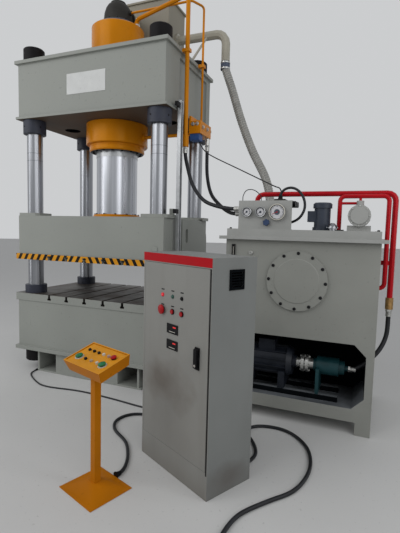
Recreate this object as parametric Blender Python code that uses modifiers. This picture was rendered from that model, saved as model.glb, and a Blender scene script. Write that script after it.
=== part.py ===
"""Four-column hydraulic press with its power unit, electrical cabinet and operator pedestal.

Units are metres, +Z is up. The origin lies on the floor under the ram's axis, the press is
wide along X and its front faces -Y. The power unit, the cabinet and the pedestal stand on the
same floor and are placed by their own empties.
"""

import math

import bpy
import bmesh
from mathutils import Quaternion, Vector

# Clearances and shop values
SEAT = 0.0003            # gap between two pieces that touch
GUIDE_CLEARANCE = 0.0015  # slide bores round the columns
RAM_CLEARANCE = 0.0005   # ram in its gland, piston in its bore
SHAFT_CLEARANCE = 0.0006  # turning shafts in their noses
OVERRUN = 0.01           # how far a cutter runs past the faces it cuts
WELD = 0.004             # how deep a welded-on shape reaches into its carrier
PORT_ROOT = 0.016        # how deep a port reaches into a round body
ROUND = 20               # facets of large round pieces
SHAFT_ROUND = 12         # facets of columns and the bores they fit
DRUM_ROUND = 16          # facets of motors, filters and flanges
SMALL_ROUND = 12         # facets of small round pieces
TINY_ROUND = 8           # facets of struts, lamps and selectors
PIN_ROUND = 6            # facets of pins and grips

# Columns
column_radius = 0.09
column_edge_x = 0.173    # from the bolster plate's side to a column's axis
column_edge_y = 0.157    # from the bolster plate's front to a column's axis
top_nut_radius = 0.12
top_nut_height = 0.162
under_collar_radius = 0.131
under_collar_height = 0.16
table_collar_radius = 0.128
table_collar_height = 0.098
bottom_nut_height = 0.156
nut_chamfer = 0.012

# Bed, its plinth and the bolster plate
plinth_height = 0.256
plinth_inset = 0.255
plinth_setback = 0.02
plinth_plate = 0.02
plinth_core_width = 0.88
plinth_side_plate = 0.025
plinth_side_inset = 0.025
bed_inset = 0.03         # from the bolster plate's side to the bed's
bed_setback = 0.01
bed_flange_height = 0.045
bed_flange_lip = 0.03
bed_top = 0.866
bolster_width = 2.06
bolster_depth = 1.3
bolster_height = 0.091

# T-slots, front to back in the bolster plate and in the slide's base plate
slot_count = 5
slot_pitch = 0.2555
slot_neck_width = 0.028
slot_chamber_width = 0.05
slot_chamber_height = 0.022
table_slot_depth = 0.062
slide_slot_depth = 0.05

# Crown
crown_clearance = 2.083  # from the bolster plate to the crown
crown_inset = 0.045      # from the bolster plate's side to the crown's
crown_setback = 0.0325
crown_body_height = 0.633
crown_top_plate = 0.04
crown_top_lip = 0.03
crown_bottom_plate = 0.03
crown_bottom_lip = 0.025
crown_pocket_front = 0.29
crown_pocket_rear = 0.50
crown_pocket_bottom_rim = 0.07
crown_pocket_top_rim = 0.05
pocket_depth = 0.025
hand_hole_inset = 0.151  # from a column's axis to the hole's
hand_hole_y = 0.02
hand_hole_radius = 0.1
hand_hole_depth = 0.2

# Cylinder, ram and gland
cylinder_radius = 0.316
cylinder_ring_radius = 0.376
cylinder_ring_height = 0.254
cylinder_bore_radius = 0.262
cylinder_rise = 0.467    # from the crown's top to the cylinder's
cylinder_head_thickness = 0.13
cylinder_port_radius = 0.045
cylinder_port_height = 0.025
gland_radius = 0.336
gland_height = 0.151
ram_radius = 0.25
ram_length = 1.255
piston_height = 0.12
ram_flange_radius = 0.29
ram_flange_height = 0.043

# Slide
slide_bottom = 1.444
slide_height = 0.458
slide_inset = 0.035      # from the bolster plate's side to the slide's
slide_setback = 0.024
slide_plate_inset = 0.01
slide_plate_height = 0.07
guide_flange_height = 0.033
guide_flange_width = 0.326
guide_flange_depth = 0.27
guide_flange_chamfer = 0.04
slide_pocket_front = 0.29
slide_pocket_rear = 0.16
slide_pocket_depth = 0.04
slide_corner_radius = 0.26
slide_rear_inset = 0.026
slide_corner_cut_depth = 0.02
oval_slot_width = 0.065
oval_slot_bottom = 1.62
oval_slot_top = 1.79
oval_slot_y = 0.03
plug_inset = 0.101
plug_z = 1.566
plug_radius = 0.035
plug_height = 0.008

# Fill tank, prefill valve and pipework on the crown
tank_left = 0.14
tank_right = 0.52
tank_front_y = 0.33
tank_depth = 0.47
tank_height = 0.93
tank_lid_height = 0.02
tank_lid_lip = 0.02
prefill_radius = 0.165
prefill_flange_radius = 0.21
prefill_flange_height = 0.04
prefill_height = 0.32
neck_radius = 0.085
neck_flange_radius = 0.125
neck_flange_height = 0.02
neck_rise = 0.2          # from the cylinder's top to the neck's axis
fill_pipe_radius = 0.053
fill_pipe_rise = 0.527   # from the crown's top to the pipe's axis
fill_pipe_y = 0.60
fill_pipe_reach = 0.16   # from the bolster plate's side to the pipe's drop
fill_pipe_drop = 0.34
fill_pipe_bend = 0.13
fill_flange_radius = 0.085
fill_flange_height = 0.018
strut_radius = 0.014
strut_foot_inset = 0.055
strut_head_inset = 0.09
strut_foot_y = 0.05
strut_plate = 0.08
strut_plate_height = 0.008
pressure_pipe_radius = 0.0245
pressure_port_x = 0.256
pressure_pipe_rise = 0.09  # from the cylinder's top to the pipe's axis
pressure_pipe_reach = 0.035
pressure_drop_y = 0.28
pressure_pipe_end = 0.36  # from the crown's bottom down to the hose
pressure_pipe_bend = 0.06
pressure_fitting_radius = 0.036
pressure_fitting_height = 0.12
port_pipe_radius = 0.02
port_drop = 0.16         # from the crown's bottom down to the port's axis
pilot_pipe_radius = 0.0135
pilot_reach = 0.03
pilot_y = 0.17
pilot_rise = 0.18
pilot_bend = 0.04
clamp_width = 0.06
clamp_height = 0.034
clamp_wrap = 0.012

# Valve block beside the crown
valve_block_width = 0.14
valve_block_front = 0.12
valve_block_rear = 0.21
valve_block_drop = 0.18  # from the crown's bottom down to the block's
valve_block_height = 0.14
valve_bracket_inset = 0.05
hose_port_radius = 0.026
hose_port_length = 0.08
hose_port_inset = 0.03

# Limit rail beside the columns, with the striker on the slide
rail_front = 0.42
rail_width = 0.06
rail_thickness = 0.04
rail_rise = 0.1          # from the crown's bottom to the rail's top
rail_groove_width = 0.03
rail_groove_depth = 0.02
rail_bracket_height = 0.04
striker_length = 0.05
striker_width = 0.03
striker_height = 0.065
switch_reach = 0.07
switch_height = 0.045
switch_width = 0.034
upper_switch_drop = 0.03  # from the rail's top to the upper switch
lower_switch_drop = 1.145  # from the rail's top to the lower switch

# Power unit
unit_gap = 0.677         # from the bolster plate's side to the oil tank
unit_y = -0.684
unit_depth = 1.1
unit_top = 1.7
foot_height = 0.114
foot_width = 0.13
bay_left = 0.068
bay_right_wall = 0.068
bay_bottom = 0.235
bay_top = 0.81
bay_depth = 0.55
bay_corner = 0.1
wall_hole_bottom = 0.55
wall_hole_height = 0.175
wall_hole_width = 0.12
bay_rail_height = 0.05
bay_rail_width = 0.05
bay_rail_margin = 0.223  # from the rails' end to the bay's right wall
bay_rail_start = 0.16
lid_lip = 0.055
lid_flange_height = 0.03
lid_curb_height = 0.07
lid_curb_inset = 0.003
hose_socket_x = 0.173
hose_socket_inset = 0.066
hose_socket_radius = 0.064
hose_socket_height = 0.06
manhole_offset = 0.0025   # to the left of the tank's middle
manhole_drop = 0.364
manhole_radius = 0.275
manhole_thickness = 0.022
manhole_crown_radius = 0.2
manhole_crown_height = 0.006
level_x = 0.077
level_drop = 0.108
level_width = 0.03
level_height = 0.12
level_depth = 0.018
level_slot_width = 0.012
level_slot_height = 0.08
level_slot_depth = 0.008

# Gauge panel
panel_left = 0.088
panel_width = 0.51
panel_height = 0.27
panel_thickness = 0.004
panel_y = 0.084
panel_return = 0.05
gauge_x = (0.176, 0.309, 0.466)
gauge_rise = 0.161       # from the lid to the gauges' axes
gauge_radius = (0.045, 0.048, 0.075)
gauge_depth = 0.034
gauge_rim = 0.006
gauge_dial_depth = 0.006
knob_x = 0.366
knob_rise = 0.063
knob_radius = 0.032
knob_depth = 0.024
knob_grip_depth = 0.004
knob_grip_count = 6
knob_facets = 22
knob_stem_radius = 0.008
knob_stand_off = 0.006

# Valve manifold with its solenoid valves
manifold_left = 0.093
manifold_front = 0.144
manifold_width = 0.42
manifold_depth = 0.26
manifold_height = 0.2
valve_count = 3
valve_body_width = 0.1
valve_body_depth = 0.07
valve_body_height = 0.09
valve_gap = 0.012
solenoid_radius = 0.027
solenoid_length = 0.1
hose_a_port_y = 0.264
hose_b_port_y = 0.324
hose_a_port_rise = 0.2
hose_b_port_rise = 0.155
manifold_port_length = 0.04

# Motor, coupling and pump on one axis in the bay
drive_y = 0.234
drive_z = 0.52
motor_left = 0.15
motor_radius = 0.15
motor_length = 0.5
motor_rib_height = 0.012
motor_rib_width = 0.008
motor_rib_count = 12
motor_end_length = 0.05
motor_nose_radius = 0.06
motor_nose_length = 0.035
motor_box_width = 0.16
motor_box_height = 0.06
foot_pad_width = 0.06
coupling_radius = 0.085
coupling_hub_radius = 0.05
coupling_length = 0.16
coupling_disc_length = 0.07
coupling_groove = 0.012
coupling_pin_radius = 0.011
coupling_pin_count = 4
shaft_radius = 0.026
shaft_stub = 0.03
pump_radius = 0.085
pump_length = 0.2
pump_nose_radius = 0.06
pump_nose_length = 0.03
pump_cover_length = 0.05
pump_cover_radius = 0.065
pump_outlet_radius = 0.026
pump_outlet_length = 0.03
pump_bracket_width = 0.03
pump_margin = 0.1474     # from the pump's outlet to the bay's right wall

# Circulation motor, filler cap and return filter on the lid
cooling_inset = 0.5155   # from the tank's right side, as the next ones
cooling_y = 0.234
cooling_radius = 0.0855
cooling_height = 0.256
cooling_base_height = 0.03
cooling_cowl_height = 0.05
cooling_box_width = 0.043
cooling_box_height = 0.1
cap_inset = 0.413
cap_y = 0.12
cap_radius = 0.045
cap_height = 0.05
cap_neck_radius = 0.03
cap_neck_height = 0.02
cap_knurl_radius = 0.004
cap_knurl_count = 6
filter_inset = 0.192
filter_y = 0.234
filter_rise = 0.137
filter_radius = 0.097
filter_length = 0.22
filter_cover_radius = 0.075
filter_cover_height = 0.012
filter_base_width = 0.2
filter_base_depth = 0.14
filter_base_height = 0.05
filter_neck_radius = 0.032
filter_neck_height = 0.045

# Red return pipes
return_radius = 0.025
return_rise = 0.35       # from the lid to the header's axis
return_y = 0.334
return_left_x = 0.203
return_reach = 0.102     # from the tank's right side to the drop's axis
return_end_drop = 0.5    # from the tank's top down to the fitting
return_bend = 0.07
return_fitting_radius = 0.034
return_fitting_height = 0.1
branch_radius = 0.02
branch_y = 0.286
branch_inset = 0.368
branch_rise = 0.32
branch_reach = 0.048
branch_end_drop = 0.41
branch_bend = 0.045
branch_notch = 0.006      # room round the branch in the lid's edge
link_radius = 0.012
link_rise = 0.256
pipe_strap_drop = 0.2
pipe_strap_height = 0.04

# Electrical cabinet: local x runs from -width to 0, y from the front to the back
cabinet_x = 2.0814
cabinet_y = -2.051
cabinet_turn = math.radians(-27.52)
cabinet_width = 0.785
cabinet_depth = 0.412
cabinet_height = 1.6
cabinet_sheet = 0.003
cabinet_plinth = 0.1
door_margin = 0.02
door_bottom = 0.19
door_top_margin = 0.07
door_gap = 0.0022
door_thickness = 0.018
door_sheet = 0.003
door_rim = 0.015
lamp_row_drop = 0.298    # from the cabinet's top, as the next one
button_row_drop = 0.405
row_x = (-0.529, -0.409, -0.303)
bezel_radius = 0.021
bezel_height = 0.006
plunger_radius = 0.016
plunger_clearance = 0.0005
plunger_length = 0.03
plunger_proud = 0.006
mushroom_radius = 0.035
mushroom_height = 0.016
lamp_radius = 0.015
lamp_height = 0.012
display_x = -0.404
display_width = 0.128
display_drop = (0.5285, 0.6435)
display_height = 0.068
display_depth = 0.005
lock_x = -0.123
lock_drop = 0.67
lock_width = 0.044
lock_height = 0.149
lock_depth = 0.022
lock_finger_depth = 0.008
lock_lug = 0.012
lock_pivot_radius = 0.004
grille_y = 0.2175
grille_drop = 0.146
grille_width = 0.135
grille_depth = 0.008
grille_slat_count = 6
grille_border = 0.014
grille_slat_gap = 0.009
plate_thickness = 0.004
plate_margin = 0.075
plate_bottom = 0.26
plate_top_margin = 0.16
plate_stand_off = 0.04
stud_radius = 0.008
stud_inset = 0.04
gear_depth = 0.08
gear_rows = 3
gear_row_height = 0.11
gear_columns = 5
duct_height = 0.05
duct_depth = 0.06
gland_x = (-0.12, -0.5, -0.6)
cable_gland_radius = 0.022
cable_gland_length = 0.025
cable_gland_z = 0.024

# Operator pedestal
pedestal_x = 1.338
pedestal_y = -2.225
pedestal_turn = math.radians(-19.0)
base_width = 0.369
base_depth = 0.333
base_plate = 0.006
base_rise = 0.05
base_rim = 0.03
post_width = 0.05
console_rise = 0.074
console_run = 0.242
console_z = 0.916
console_width = 0.407
console_depth = 0.253
console_thickness = 0.08
console_taper_x = 0.0225
console_taper_y = 0.012
deck_rim = 0.01
deck_depth = 0.006
far_row = 0.045
near_row = -0.045
palm_x = 0.13
palm_radius = 0.026
palm_height = 0.014
stop_x = 0.135
stop_radius = 0.021
console_plunger_radius = 0.011
console_plunger_length = 0.026
console_bezel_radius = 0.017
console_bezel_height = 0.004
console_plunger_proud = 0.006
selector_radius = 0.011
selector_height = 0.012
far_selectors = (-0.135, -0.081, -0.027, 0.027, 0.081)
near_selectors = (-0.055, 0.009, 0.073)

# Hoses and cables
hose_radius = 0.02
fill_hose_radius = 0.05
valve_cable_radius = 0.006
press_cable_radius = 0.008
pedestal_cable_radius = 0.013
solenoid_cable_radius = 0.012
cord_step = 0.08         # shortest spacing of a cord's points
cord_step_share = 6.0    # spacing of a cord's points over its radius
floor_lead = 0.05        # how far a floor cable runs straight from its end
mains_radius = 0.014
coil_mid_radius = 0.155
coil_x = 2.078
coil_y = -2.64

# Outlines of domes, as shares of their radius and height
button_dome_shares = ((0, 1), (0.6, 0.875), (1, 0.5), (1, 0))
lamp_dome_shares = ((0, 1), (0.7, 0.8), (1, 0.333))
cap_dome_shares = ((0, 1), (0.5, 0.875), (0.85, 0.5), (1, 0.25), (1, 0))
knob_grip_phase_share = 0.35
gear_width_share = 0.84

# Values that follow from the driving sizes
press_side = bolster_width / 2
column_x = press_side - column_edge_x
column_y = bolster_depth / 2 - column_edge_y
bed_width = bolster_width - 2 * bed_inset
bed_depth = bolster_depth - 2 * bed_setback
plinth_width = bed_width - 2 * plinth_inset
plinth_depth = bed_depth - 2 * plinth_setback
plinth_side_x = plinth_width / 2 - plinth_side_inset
bed_flange_top = plinth_height + bed_flange_height
bolster_top = bed_top + bolster_height

crown_width = bolster_width - 2 * crown_inset
crown_depth = bolster_depth - 2 * crown_setback
crown_bottom = bolster_top + crown_clearance
crown_body_top = crown_bottom + crown_body_height
crown_top = crown_body_top + crown_top_plate
crown_top_half = crown_width / 2 + crown_top_lip
crown_lip_half = crown_width / 2 + crown_bottom_lip
hand_hole_x = column_x - hand_hole_inset

slide_width = bolster_width - 2 * slide_inset
slide_depth = bolster_depth - 2 * slide_setback
slide_plate_width = bolster_width - 2 * slide_plate_inset
slide_plate_bottom = slide_bottom - slide_plate_height
slide_top = slide_bottom + slide_height
slide_rear_y = slide_depth / 2 - slide_rear_inset
plug_x = slide_width / 2 - plug_inset
ram_bottom = slide_top + ram_flange_height

ring_bottom = crown_bottom - cylinder_ring_height
gland_bottom = ring_bottom - gland_height
cylinder_top = crown_top + cylinder_rise
cylinder_bore_top = cylinder_top - cylinder_head_thickness
port_z = crown_bottom - port_drop
prefill_top = cylinder_top + prefill_height
neck_z = cylinder_top + neck_rise

fill_pipe_z = crown_top + fill_pipe_rise
fill_pipe_end_z = fill_pipe_z - fill_pipe_drop
fill_pipe_drop_x = press_side + fill_pipe_reach
strut_foot_x = press_side - strut_foot_inset
strut_head_x = press_side - strut_head_inset
pressure_drop_x = press_side + pressure_pipe_reach
pressure_pipe_z = cylinder_top + pressure_pipe_rise
pressure_pipe_end_z = crown_bottom - pressure_pipe_end
pilot_x = press_side + pilot_reach
pilot_z = cylinder_top + pilot_rise
valve_block_left = press_side
valve_block_bottom = crown_bottom - valve_block_drop
rail_inner = press_side + SEAT
rail_top = crown_bottom + rail_rise

coupling_start = motor_left + motor_length + motor_nose_length + SEAT
pump_start = coupling_start + coupling_length + SEAT
pump_end = pump_start + pump_nose_length + pump_length + pump_cover_length
bay_right = pump_end + pump_outlet_length + pump_margin
unit_x = press_side + unit_gap
unit_width = bay_right + bay_right_wall
bay_rail_end = bay_right - bay_rail_margin
lid_top = unit_top + lid_flange_height + lid_curb_height
hose_socket_y = unit_depth - hose_socket_inset
manhole_x = unit_width / 2 - manhole_offset
manhole_z = unit_top - manhole_drop
level_z = unit_top - level_drop
gauge_z = lid_top + gauge_rise
knob_z = lid_top + knob_rise
cooling_x = unit_width - cooling_inset
cap_x = unit_width - cap_inset
filter_x = unit_width - filter_inset
filter_z = lid_top + filter_rise
return_right_x = unit_width + return_reach
return_z = lid_top + return_rise
return_end_z = unit_top - return_end_drop
branch_left_x = unit_width - branch_inset
branch_x = unit_width + branch_reach

lamp_row_z = cabinet_height - lamp_row_drop
button_row_z = cabinet_height - button_row_drop
lock_z = cabinet_height - lock_drop
grille_z = cabinet_height - grille_drop
plate_top = cabinet_height - plate_top_margin
console_tilt = math.atan2(console_rise, console_run)


PAINTS = {
    "press_grey": ((0.62, 0.64, 0.58), 0.45, 0.0),
    "table_steel": ((0.16, 0.16, 0.16), 0.4, 0.9),
    "chrome": ((0.82, 0.83, 0.85), 0.08, 1.0),
    "cylinder_yellow": ((0.85, 0.42, 0.03), 0.4, 0.0),
    "valve_dark": ((0.05, 0.06, 0.08), 0.5, 0.3),
    "tank_beige": ((0.72, 0.68, 0.56), 0.5, 0.0),
    "pipe_white": ((0.8, 0.8, 0.78), 0.45, 0.0),
    "steel_bright": ((0.6, 0.61, 0.62), 0.3, 0.9),
    "hose_black": ((0.02, 0.02, 0.022), 0.5, 0.0),
    "hose_clear": ((0.75, 0.76, 0.74), 0.3, 0.0),
    "motor_black": ((0.03, 0.035, 0.045), 0.45, 0.2),
    "pump_teal": ((0.05, 0.32, 0.33), 0.4, 0.1),
    "return_red": ((0.65, 0.02, 0.03), 0.3, 0.0),
    "knob_blue": ((0.03, 0.15, 0.55), 0.3, 0.0),
    "cabinet_grey": ((0.68, 0.67, 0.62), 0.5, 0.0),
    "plastic_black": ((0.02, 0.02, 0.02), 0.4, 0.0),
    "button_red": ((0.7, 0.02, 0.02), 0.3, 0.0),
    "button_green": ((0.02, 0.35, 0.12), 0.3, 0.0),
    "pedestal_yellow": ((0.9, 0.5, 0.03), 0.45, 0.0),
}

for old in list(bpy.data.objects):
    bpy.data.objects.remove(old, do_unlink=True)

PARTS = bpy.data.collections.new("hydraulic_press")
CUTTERS = bpy.data.collections.new("cutters")
bpy.context.scene.collection.children.link(PARTS)
bpy.context.scene.collection.children.link(CUTTERS)


def paint(name, slot):
    """A Principled material of one paint for one piece."""
    colour, roughness, metallic = PAINTS[slot]
    material = bpy.data.materials.new(name + "_finish")
    material.use_nodes = True
    shader = material.node_tree.nodes["Principled BSDF"]
    shader.inputs["Base Color"].default_value = (*colour, 1.0)
    shader.inputs["Roughness"].default_value = roughness
    shader.inputs["Metallic"].default_value = metallic
    return material


def add(name, mesh, under=None, slot=None):
    """A piece where a paint is given, otherwise a shape that cuts or joins another one."""
    obj = bpy.data.objects.new(name, mesh)
    obj.parent = under
    if slot:
        PARTS.objects.link(obj)
        mesh.materials.append(paint(name, slot))
    else:
        CUTTERS.objects.link(obj)
        obj.hide_render = True
        obj.display_type = "WIRE"
    return obj


def empty(name, place, turn=(0, 0, 0), under=None):
    """A frame that pieces are placed in."""
    obj = bpy.data.objects.new(name, None)
    obj.location = place
    obj.rotation_euler = turn
    obj.parent = under
    PARTS.objects.link(obj)
    return obj


def smooth(obj):
    """Smooth shading with sharp edges kept."""
    obj.data.shade_smooth()
    obj.data.set_sharp_from_angle(angle=math.radians(35))
    return obj


def box(name, low, high, under=None, slot=None):
    """A box between two corners, with its origin at its centre."""
    low, high = Vector(low), Vector(high)
    bm = bmesh.new()
    bmesh.ops.create_cube(bm, size=1.0)
    bmesh.ops.scale(bm, vec=high - low, verts=bm.verts)
    mesh = bpy.data.meshes.new(name)
    bm.to_mesh(mesh)
    bm.free()
    obj = add(name, mesh, under, slot)
    obj.location = (low + high) / 2
    return obj


def aim(obj, direction):
    """Turn an object so that its own +Z points along a direction."""
    obj.rotation_euler = Vector(direction).to_track_quat("Z", "Y").to_euler()
    return obj


def rod(name, radius, start, end, under=None, slot=None, facets=SMALL_ROUND):
    """A plain cylinder from one end to the other."""
    start, end = Vector(start), Vector(end)
    bm = bmesh.new()
    bmesh.ops.create_cone(
        bm, cap_ends=True, segments=facets, radius1=radius, radius2=radius, depth=(end - start).length
    )
    mesh = bpy.data.meshes.new(name)
    bm.to_mesh(mesh)
    bm.free()
    obj = smooth(add(name, mesh, under, slot))
    obj.location = (start + end) / 2
    return aim(obj, end - start)


def turned(
    name, profile, place=(0, 0, 0), under=None, slot=None, facets=ROUND, direction=(0, 0, 1), ring=False
):
    """A solid of revolution; the profile lists radius and height, down its outer side."""
    bm = bmesh.new()
    corners = [bm.verts.new((radius, 0, height)) for radius, height in profile]
    for first, second in zip(corners, corners[1:]):
        bm.edges.new((first, second))
    if ring:
        bm.edges.new((corners[-1], corners[0]))
    mesh = bpy.data.meshes.new(name)
    bm.to_mesh(mesh)
    bm.free()
    obj = add(name, mesh, under, slot)
    obj.location = place
    aim(obj, direction)
    spin = obj.modifiers.new("turn", "SCREW")
    spin.axis = "Z"
    spin.steps = facets
    spin.render_steps = facets
    spin.use_merge_vertices = True
    spin.merge_threshold = 0.0001
    spin.use_smooth_shade = False
    return obj


def tube(name, points, radius, under=None, slot=None, sides=2):
    """A round bar along a list of points, as a closed mesh."""
    curve = bpy.data.curves.new(name + "_line", "CURVE")
    curve.dimensions = "3D"
    curve.bevel_depth = radius
    curve.bevel_resolution = sides
    curve.use_fill_caps = True
    line = curve.splines.new("POLY")
    line.points.add(len(points) - 1)
    for knot, place in zip(line.points, points):
        knot.co = (*place, 1.0)
    return from_curve(name, curve, under, slot, soft=True)


def outline_solid(name, corners, thickness, place, turn, under=None, slot=None):
    """A flat outline, drawn in x and y, with a thickness about its plane."""
    curve = bpy.data.curves.new(name + "_outline", "CURVE")
    curve.dimensions = "2D"
    curve.fill_mode = "BOTH"
    curve.extrude = thickness / 2
    line = curve.splines.new("POLY")
    line.points.add(len(corners) - 1)
    for knot, (x, y) in zip(line.points, corners):
        knot.co = (x, y, 0, 1.0)
    line.use_cyclic_u = True
    return from_curve(name, curve, under, slot, place=place, turn=turn)


def from_curve(name, curve, under, slot, place=(0, 0, 0), turn=(0, 0, 0), soft=False):
    """Turn a curve into a mesh object with welded caps."""
    holder = bpy.data.objects.new(name + "_curve", curve)
    bpy.context.scene.collection.objects.link(holder)
    bpy.context.view_layer.update()
    evaluated = holder.evaluated_get(bpy.context.evaluated_depsgraph_get())
    mesh = bpy.data.meshes.new_from_object(evaluated)
    bm = bmesh.new()
    bm.from_mesh(mesh)
    bmesh.ops.remove_doubles(bm, verts=bm.verts, dist=0.0001)
    bmesh.ops.recalc_face_normals(bm, faces=bm.faces)
    bm.to_mesh(mesh)
    bm.free()
    obj = add(name, mesh, under, slot)
    obj.matrix_world = holder.matrix_world
    obj.location = place
    obj.rotation_euler = turn
    bpy.data.objects.remove(holder, do_unlink=True)
    return smooth(obj) if soft else obj


def boolean(target, tool, operation):
    step = target.modifiers.new(tool.name, "BOOLEAN")
    step.operation = operation
    step.solver = "EXACT"
    step.object = tool


def cut(target, *tools):
    """Take the tools' shapes out of the target."""
    for tool in tools:
        boolean(target, tool, "DIFFERENCE")
    return target


def join(target, *pieces):
    """Weld pieces onto the target, as one body."""
    for piece in pieces:
        boolean(target, piece, "UNION")
    return target


def bent(points, bend, steps=4):
    """A line through corner points, with a round bend at each inner corner."""
    points = [Vector(p) for p in points]
    line = [points[0]]
    for before, corner, after in zip(points, points[1:], points[2:]):
        into, out = (corner - before).normalized(), (after - corner).normalized()
        turn = into.angle(out)
        reach = bend * math.tan(turn / 2)
        centre = corner + (out - into).normalized() * bend / math.cos(turn / 2)
        start = corner - into * reach - centre
        axis = into.cross(out).normalized()
        for k in range(steps + 1):
            spoke = start.copy()
            spoke.rotate(Quaternion(axis, turn * k / steps))
            line.append(centre + spoke)
    line.append(points[-1])
    return line


def flowing(points, spacing, steps=24, fewest=6):
    """A line through hand-chosen points: straight at both ends, one smooth curve between them."""
    points = [Vector(p) for p in points]
    fine = [points[1]]
    for p0, p1, p2, p3 in zip(points, points[1:], points[2:], points[3:]):
        for k in range(1, steps + 1):
            t = k / steps
            fine.append(
                (2 * p1 + (p2 - p0) * t + (2 * p0 - 5 * p1 + 4 * p2 - p3) * t * t
                 + (3 * p1 - p0 - 3 * p2 + p3) * t ** 3) / 2
            )
    lengths = [0.0]
    for first, second in zip(fine, fine[1:]):
        lengths.append(lengths[-1] + (second - first).length)
    count = max(fewest, round(lengths[-1] / spacing))
    line, at = [points[0]], 0
    for k in range(count + 1):
        wanted = lengths[-1] * k / count
        while at < len(fine) - 2 and lengths[at + 1] < wanted:
            at += 1
        share = (wanted - lengths[at]) / (lengths[at + 1] - lengths[at])
        line.append(fine[at].lerp(fine[at + 1], share))
    return [*line, points[-1]]


def corners_of(x, y):
    """The four columns' names and places."""
    return [
        ("front_left", -x, -y), ("front_right", x, -y), ("rear_left", -x, y), ("rear_right", x, y)
    ]


def column_bores(target, low, high, clearance):
    """Bores for the four columns through a plate or a box."""
    for side, x, y in corners_of(column_x, column_y):
        cut(target, rod(
            f"{target.name}_bore_{side}", column_radius + clearance,
            (x, y, low - OVERRUN), (x, y, high + OVERRUN), facets=SHAFT_ROUND,
        ))


def t_slots(target, face, depth, up):
    """T-slots from front to back, their necks open at the face; up is 1 for a face on top."""
    neck, chamber = slot_neck_width / 2, slot_chamber_width / 2
    shoulder = depth - slot_chamber_height
    section = [
        (-neck, OVERRUN), (-neck, -shoulder), (-chamber, -shoulder), (-chamber, -depth),
        (chamber, -depth), (chamber, -shoulder), (neck, -shoulder), (neck, OVERRUN),
    ]
    for k in range(slot_count):
        x = (k - (slot_count - 1) / 2) * slot_pitch
        cut(target, outline_solid(
            f"{target.name}_slot_{k}", [(a, up * b) for a, b in section],
            bolster_depth + 2 * OVERRUN, (x, 0, face), (math.radians(90), 0, 0),
        ))


# Press frame

def make_bed():
    """The welded bed: body, bottom flange and the plinth with its open bays."""
    half_x, half_y = bed_width / 2, bed_depth / 2
    flange_x, flange_y = half_x + bed_flange_lip, half_y + bed_flange_lip
    bed = box("bed", (-half_x, -half_y, bed_flange_top - WELD), (half_x, half_y, bed_top), slot="press_grey")
    join(bed, box("bed_flange", (-flange_x, -flange_y, plinth_height), (flange_x, flange_y, bed_flange_top)))
    core, deep = plinth_core_width / 2, plinth_depth / 2
    join(bed, box("plinth_core", (-core, -deep, 0), (core, deep, plinth_height + WELD)))
    foot = plinth_width / 2
    join(bed, box("plinth_foot", (-foot, -deep - WELD, 0), (foot, deep + WELD, plinth_plate)))
    for side in (-1, 1):
        inner, outer = side * (plinth_side_x - plinth_side_plate), side * plinth_side_x
        join(bed, box(
            f"plinth_side_{side}", (min(inner, outer), -deep, plinth_plate - WELD),
            (max(inner, outer), deep, plinth_height + WELD),
        ))
    column_bores(bed, plinth_height, bed_top, SEAT)


def make_bolster_plate():
    half_x, half_y = bolster_width / 2, bolster_depth / 2
    plate = box(
        "bolster_plate", (-half_x, -half_y, bed_top + SEAT), (half_x, half_y, bolster_top), slot="table_steel"
    )
    column_bores(plate, bed_top, bolster_top, SEAT)
    t_slots(plate, bolster_top, table_slot_depth, 1)


def make_columns():
    """Each column with its nuts and collars, from the top nut down to the bottom nut."""
    top = crown_top + top_nut_height
    table = bolster_top + SEAT
    profile = [
        (0, top), (top_nut_radius - nut_chamfer, top), (top_nut_radius, top - nut_chamfer),
        (top_nut_radius, crown_top + SEAT), (column_radius, crown_top + SEAT),
        (column_radius, crown_bottom - SEAT), (under_collar_radius, crown_bottom - SEAT),
        (under_collar_radius, crown_bottom - under_collar_height),
        (column_radius, crown_bottom - under_collar_height),
        (column_radius, table + table_collar_height), (table_collar_radius, table + table_collar_height),
        (table_collar_radius, table), (column_radius, table), (column_radius, plinth_height - SEAT),
        (table_collar_radius, plinth_height - SEAT),
        (table_collar_radius, plinth_height - bottom_nut_height + nut_chamfer),
        (table_collar_radius - nut_chamfer, plinth_height - bottom_nut_height),
        (0, plinth_height - bottom_nut_height),
    ]
    for side, x, y in corners_of(column_x, column_y):
        turned(f"column_{side}", profile, (x, y, 0), slot="chrome", facets=SHAFT_ROUND)


def make_crown():
    """The crown: box with top and bottom plates, side pockets, bores and a hand hole."""
    half_x, half_y = crown_width / 2, crown_depth / 2
    crown = box(
        "crown", (-half_x, -half_y, crown_bottom), (half_x, half_y, crown_body_top + WELD), slot="press_grey"
    )
    join(crown, box(
        "crown_top_plate", (-crown_top_half, -half_y - crown_top_lip, crown_body_top),
        (crown_top_half, half_y + crown_top_lip, crown_top),
    ))
    join(crown, box(
        "crown_bottom_plate", (-crown_lip_half, -half_y - crown_bottom_lip, crown_bottom),
        (crown_lip_half, half_y + crown_bottom_lip, crown_bottom + crown_bottom_plate),
    ))
    for side in (-1, 1):
        inner, outer = side * (half_x - pocket_depth), side * (half_x + OVERRUN)
        cut(crown, box(
            f"crown_pocket_{side}",
            (min(inner, outer), -crown_pocket_front, crown_bottom + crown_pocket_bottom_rim),
            (max(inner, outer), crown_pocket_rear, crown_body_top - crown_pocket_top_rim),
        ))
    column_bores(crown, crown_bottom, crown_top, SEAT)
    cut(crown, rod(
        "crown_cylinder_bore", cylinder_radius + SEAT, (0, 0, crown_bottom - OVERRUN),
        (0, 0, crown_top + OVERRUN), facets=ROUND,
    ))
    for side in (-1, 1):
        x = side * hand_hole_x
        cut(crown, rod(
            f"crown_hand_hole_{side}", hand_hole_radius, (x, hand_hole_y, crown_bottom - OVERRUN),
            (x, hand_hole_y, crown_bottom + hand_hole_depth), facets=SHAFT_ROUND,
        ))


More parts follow.
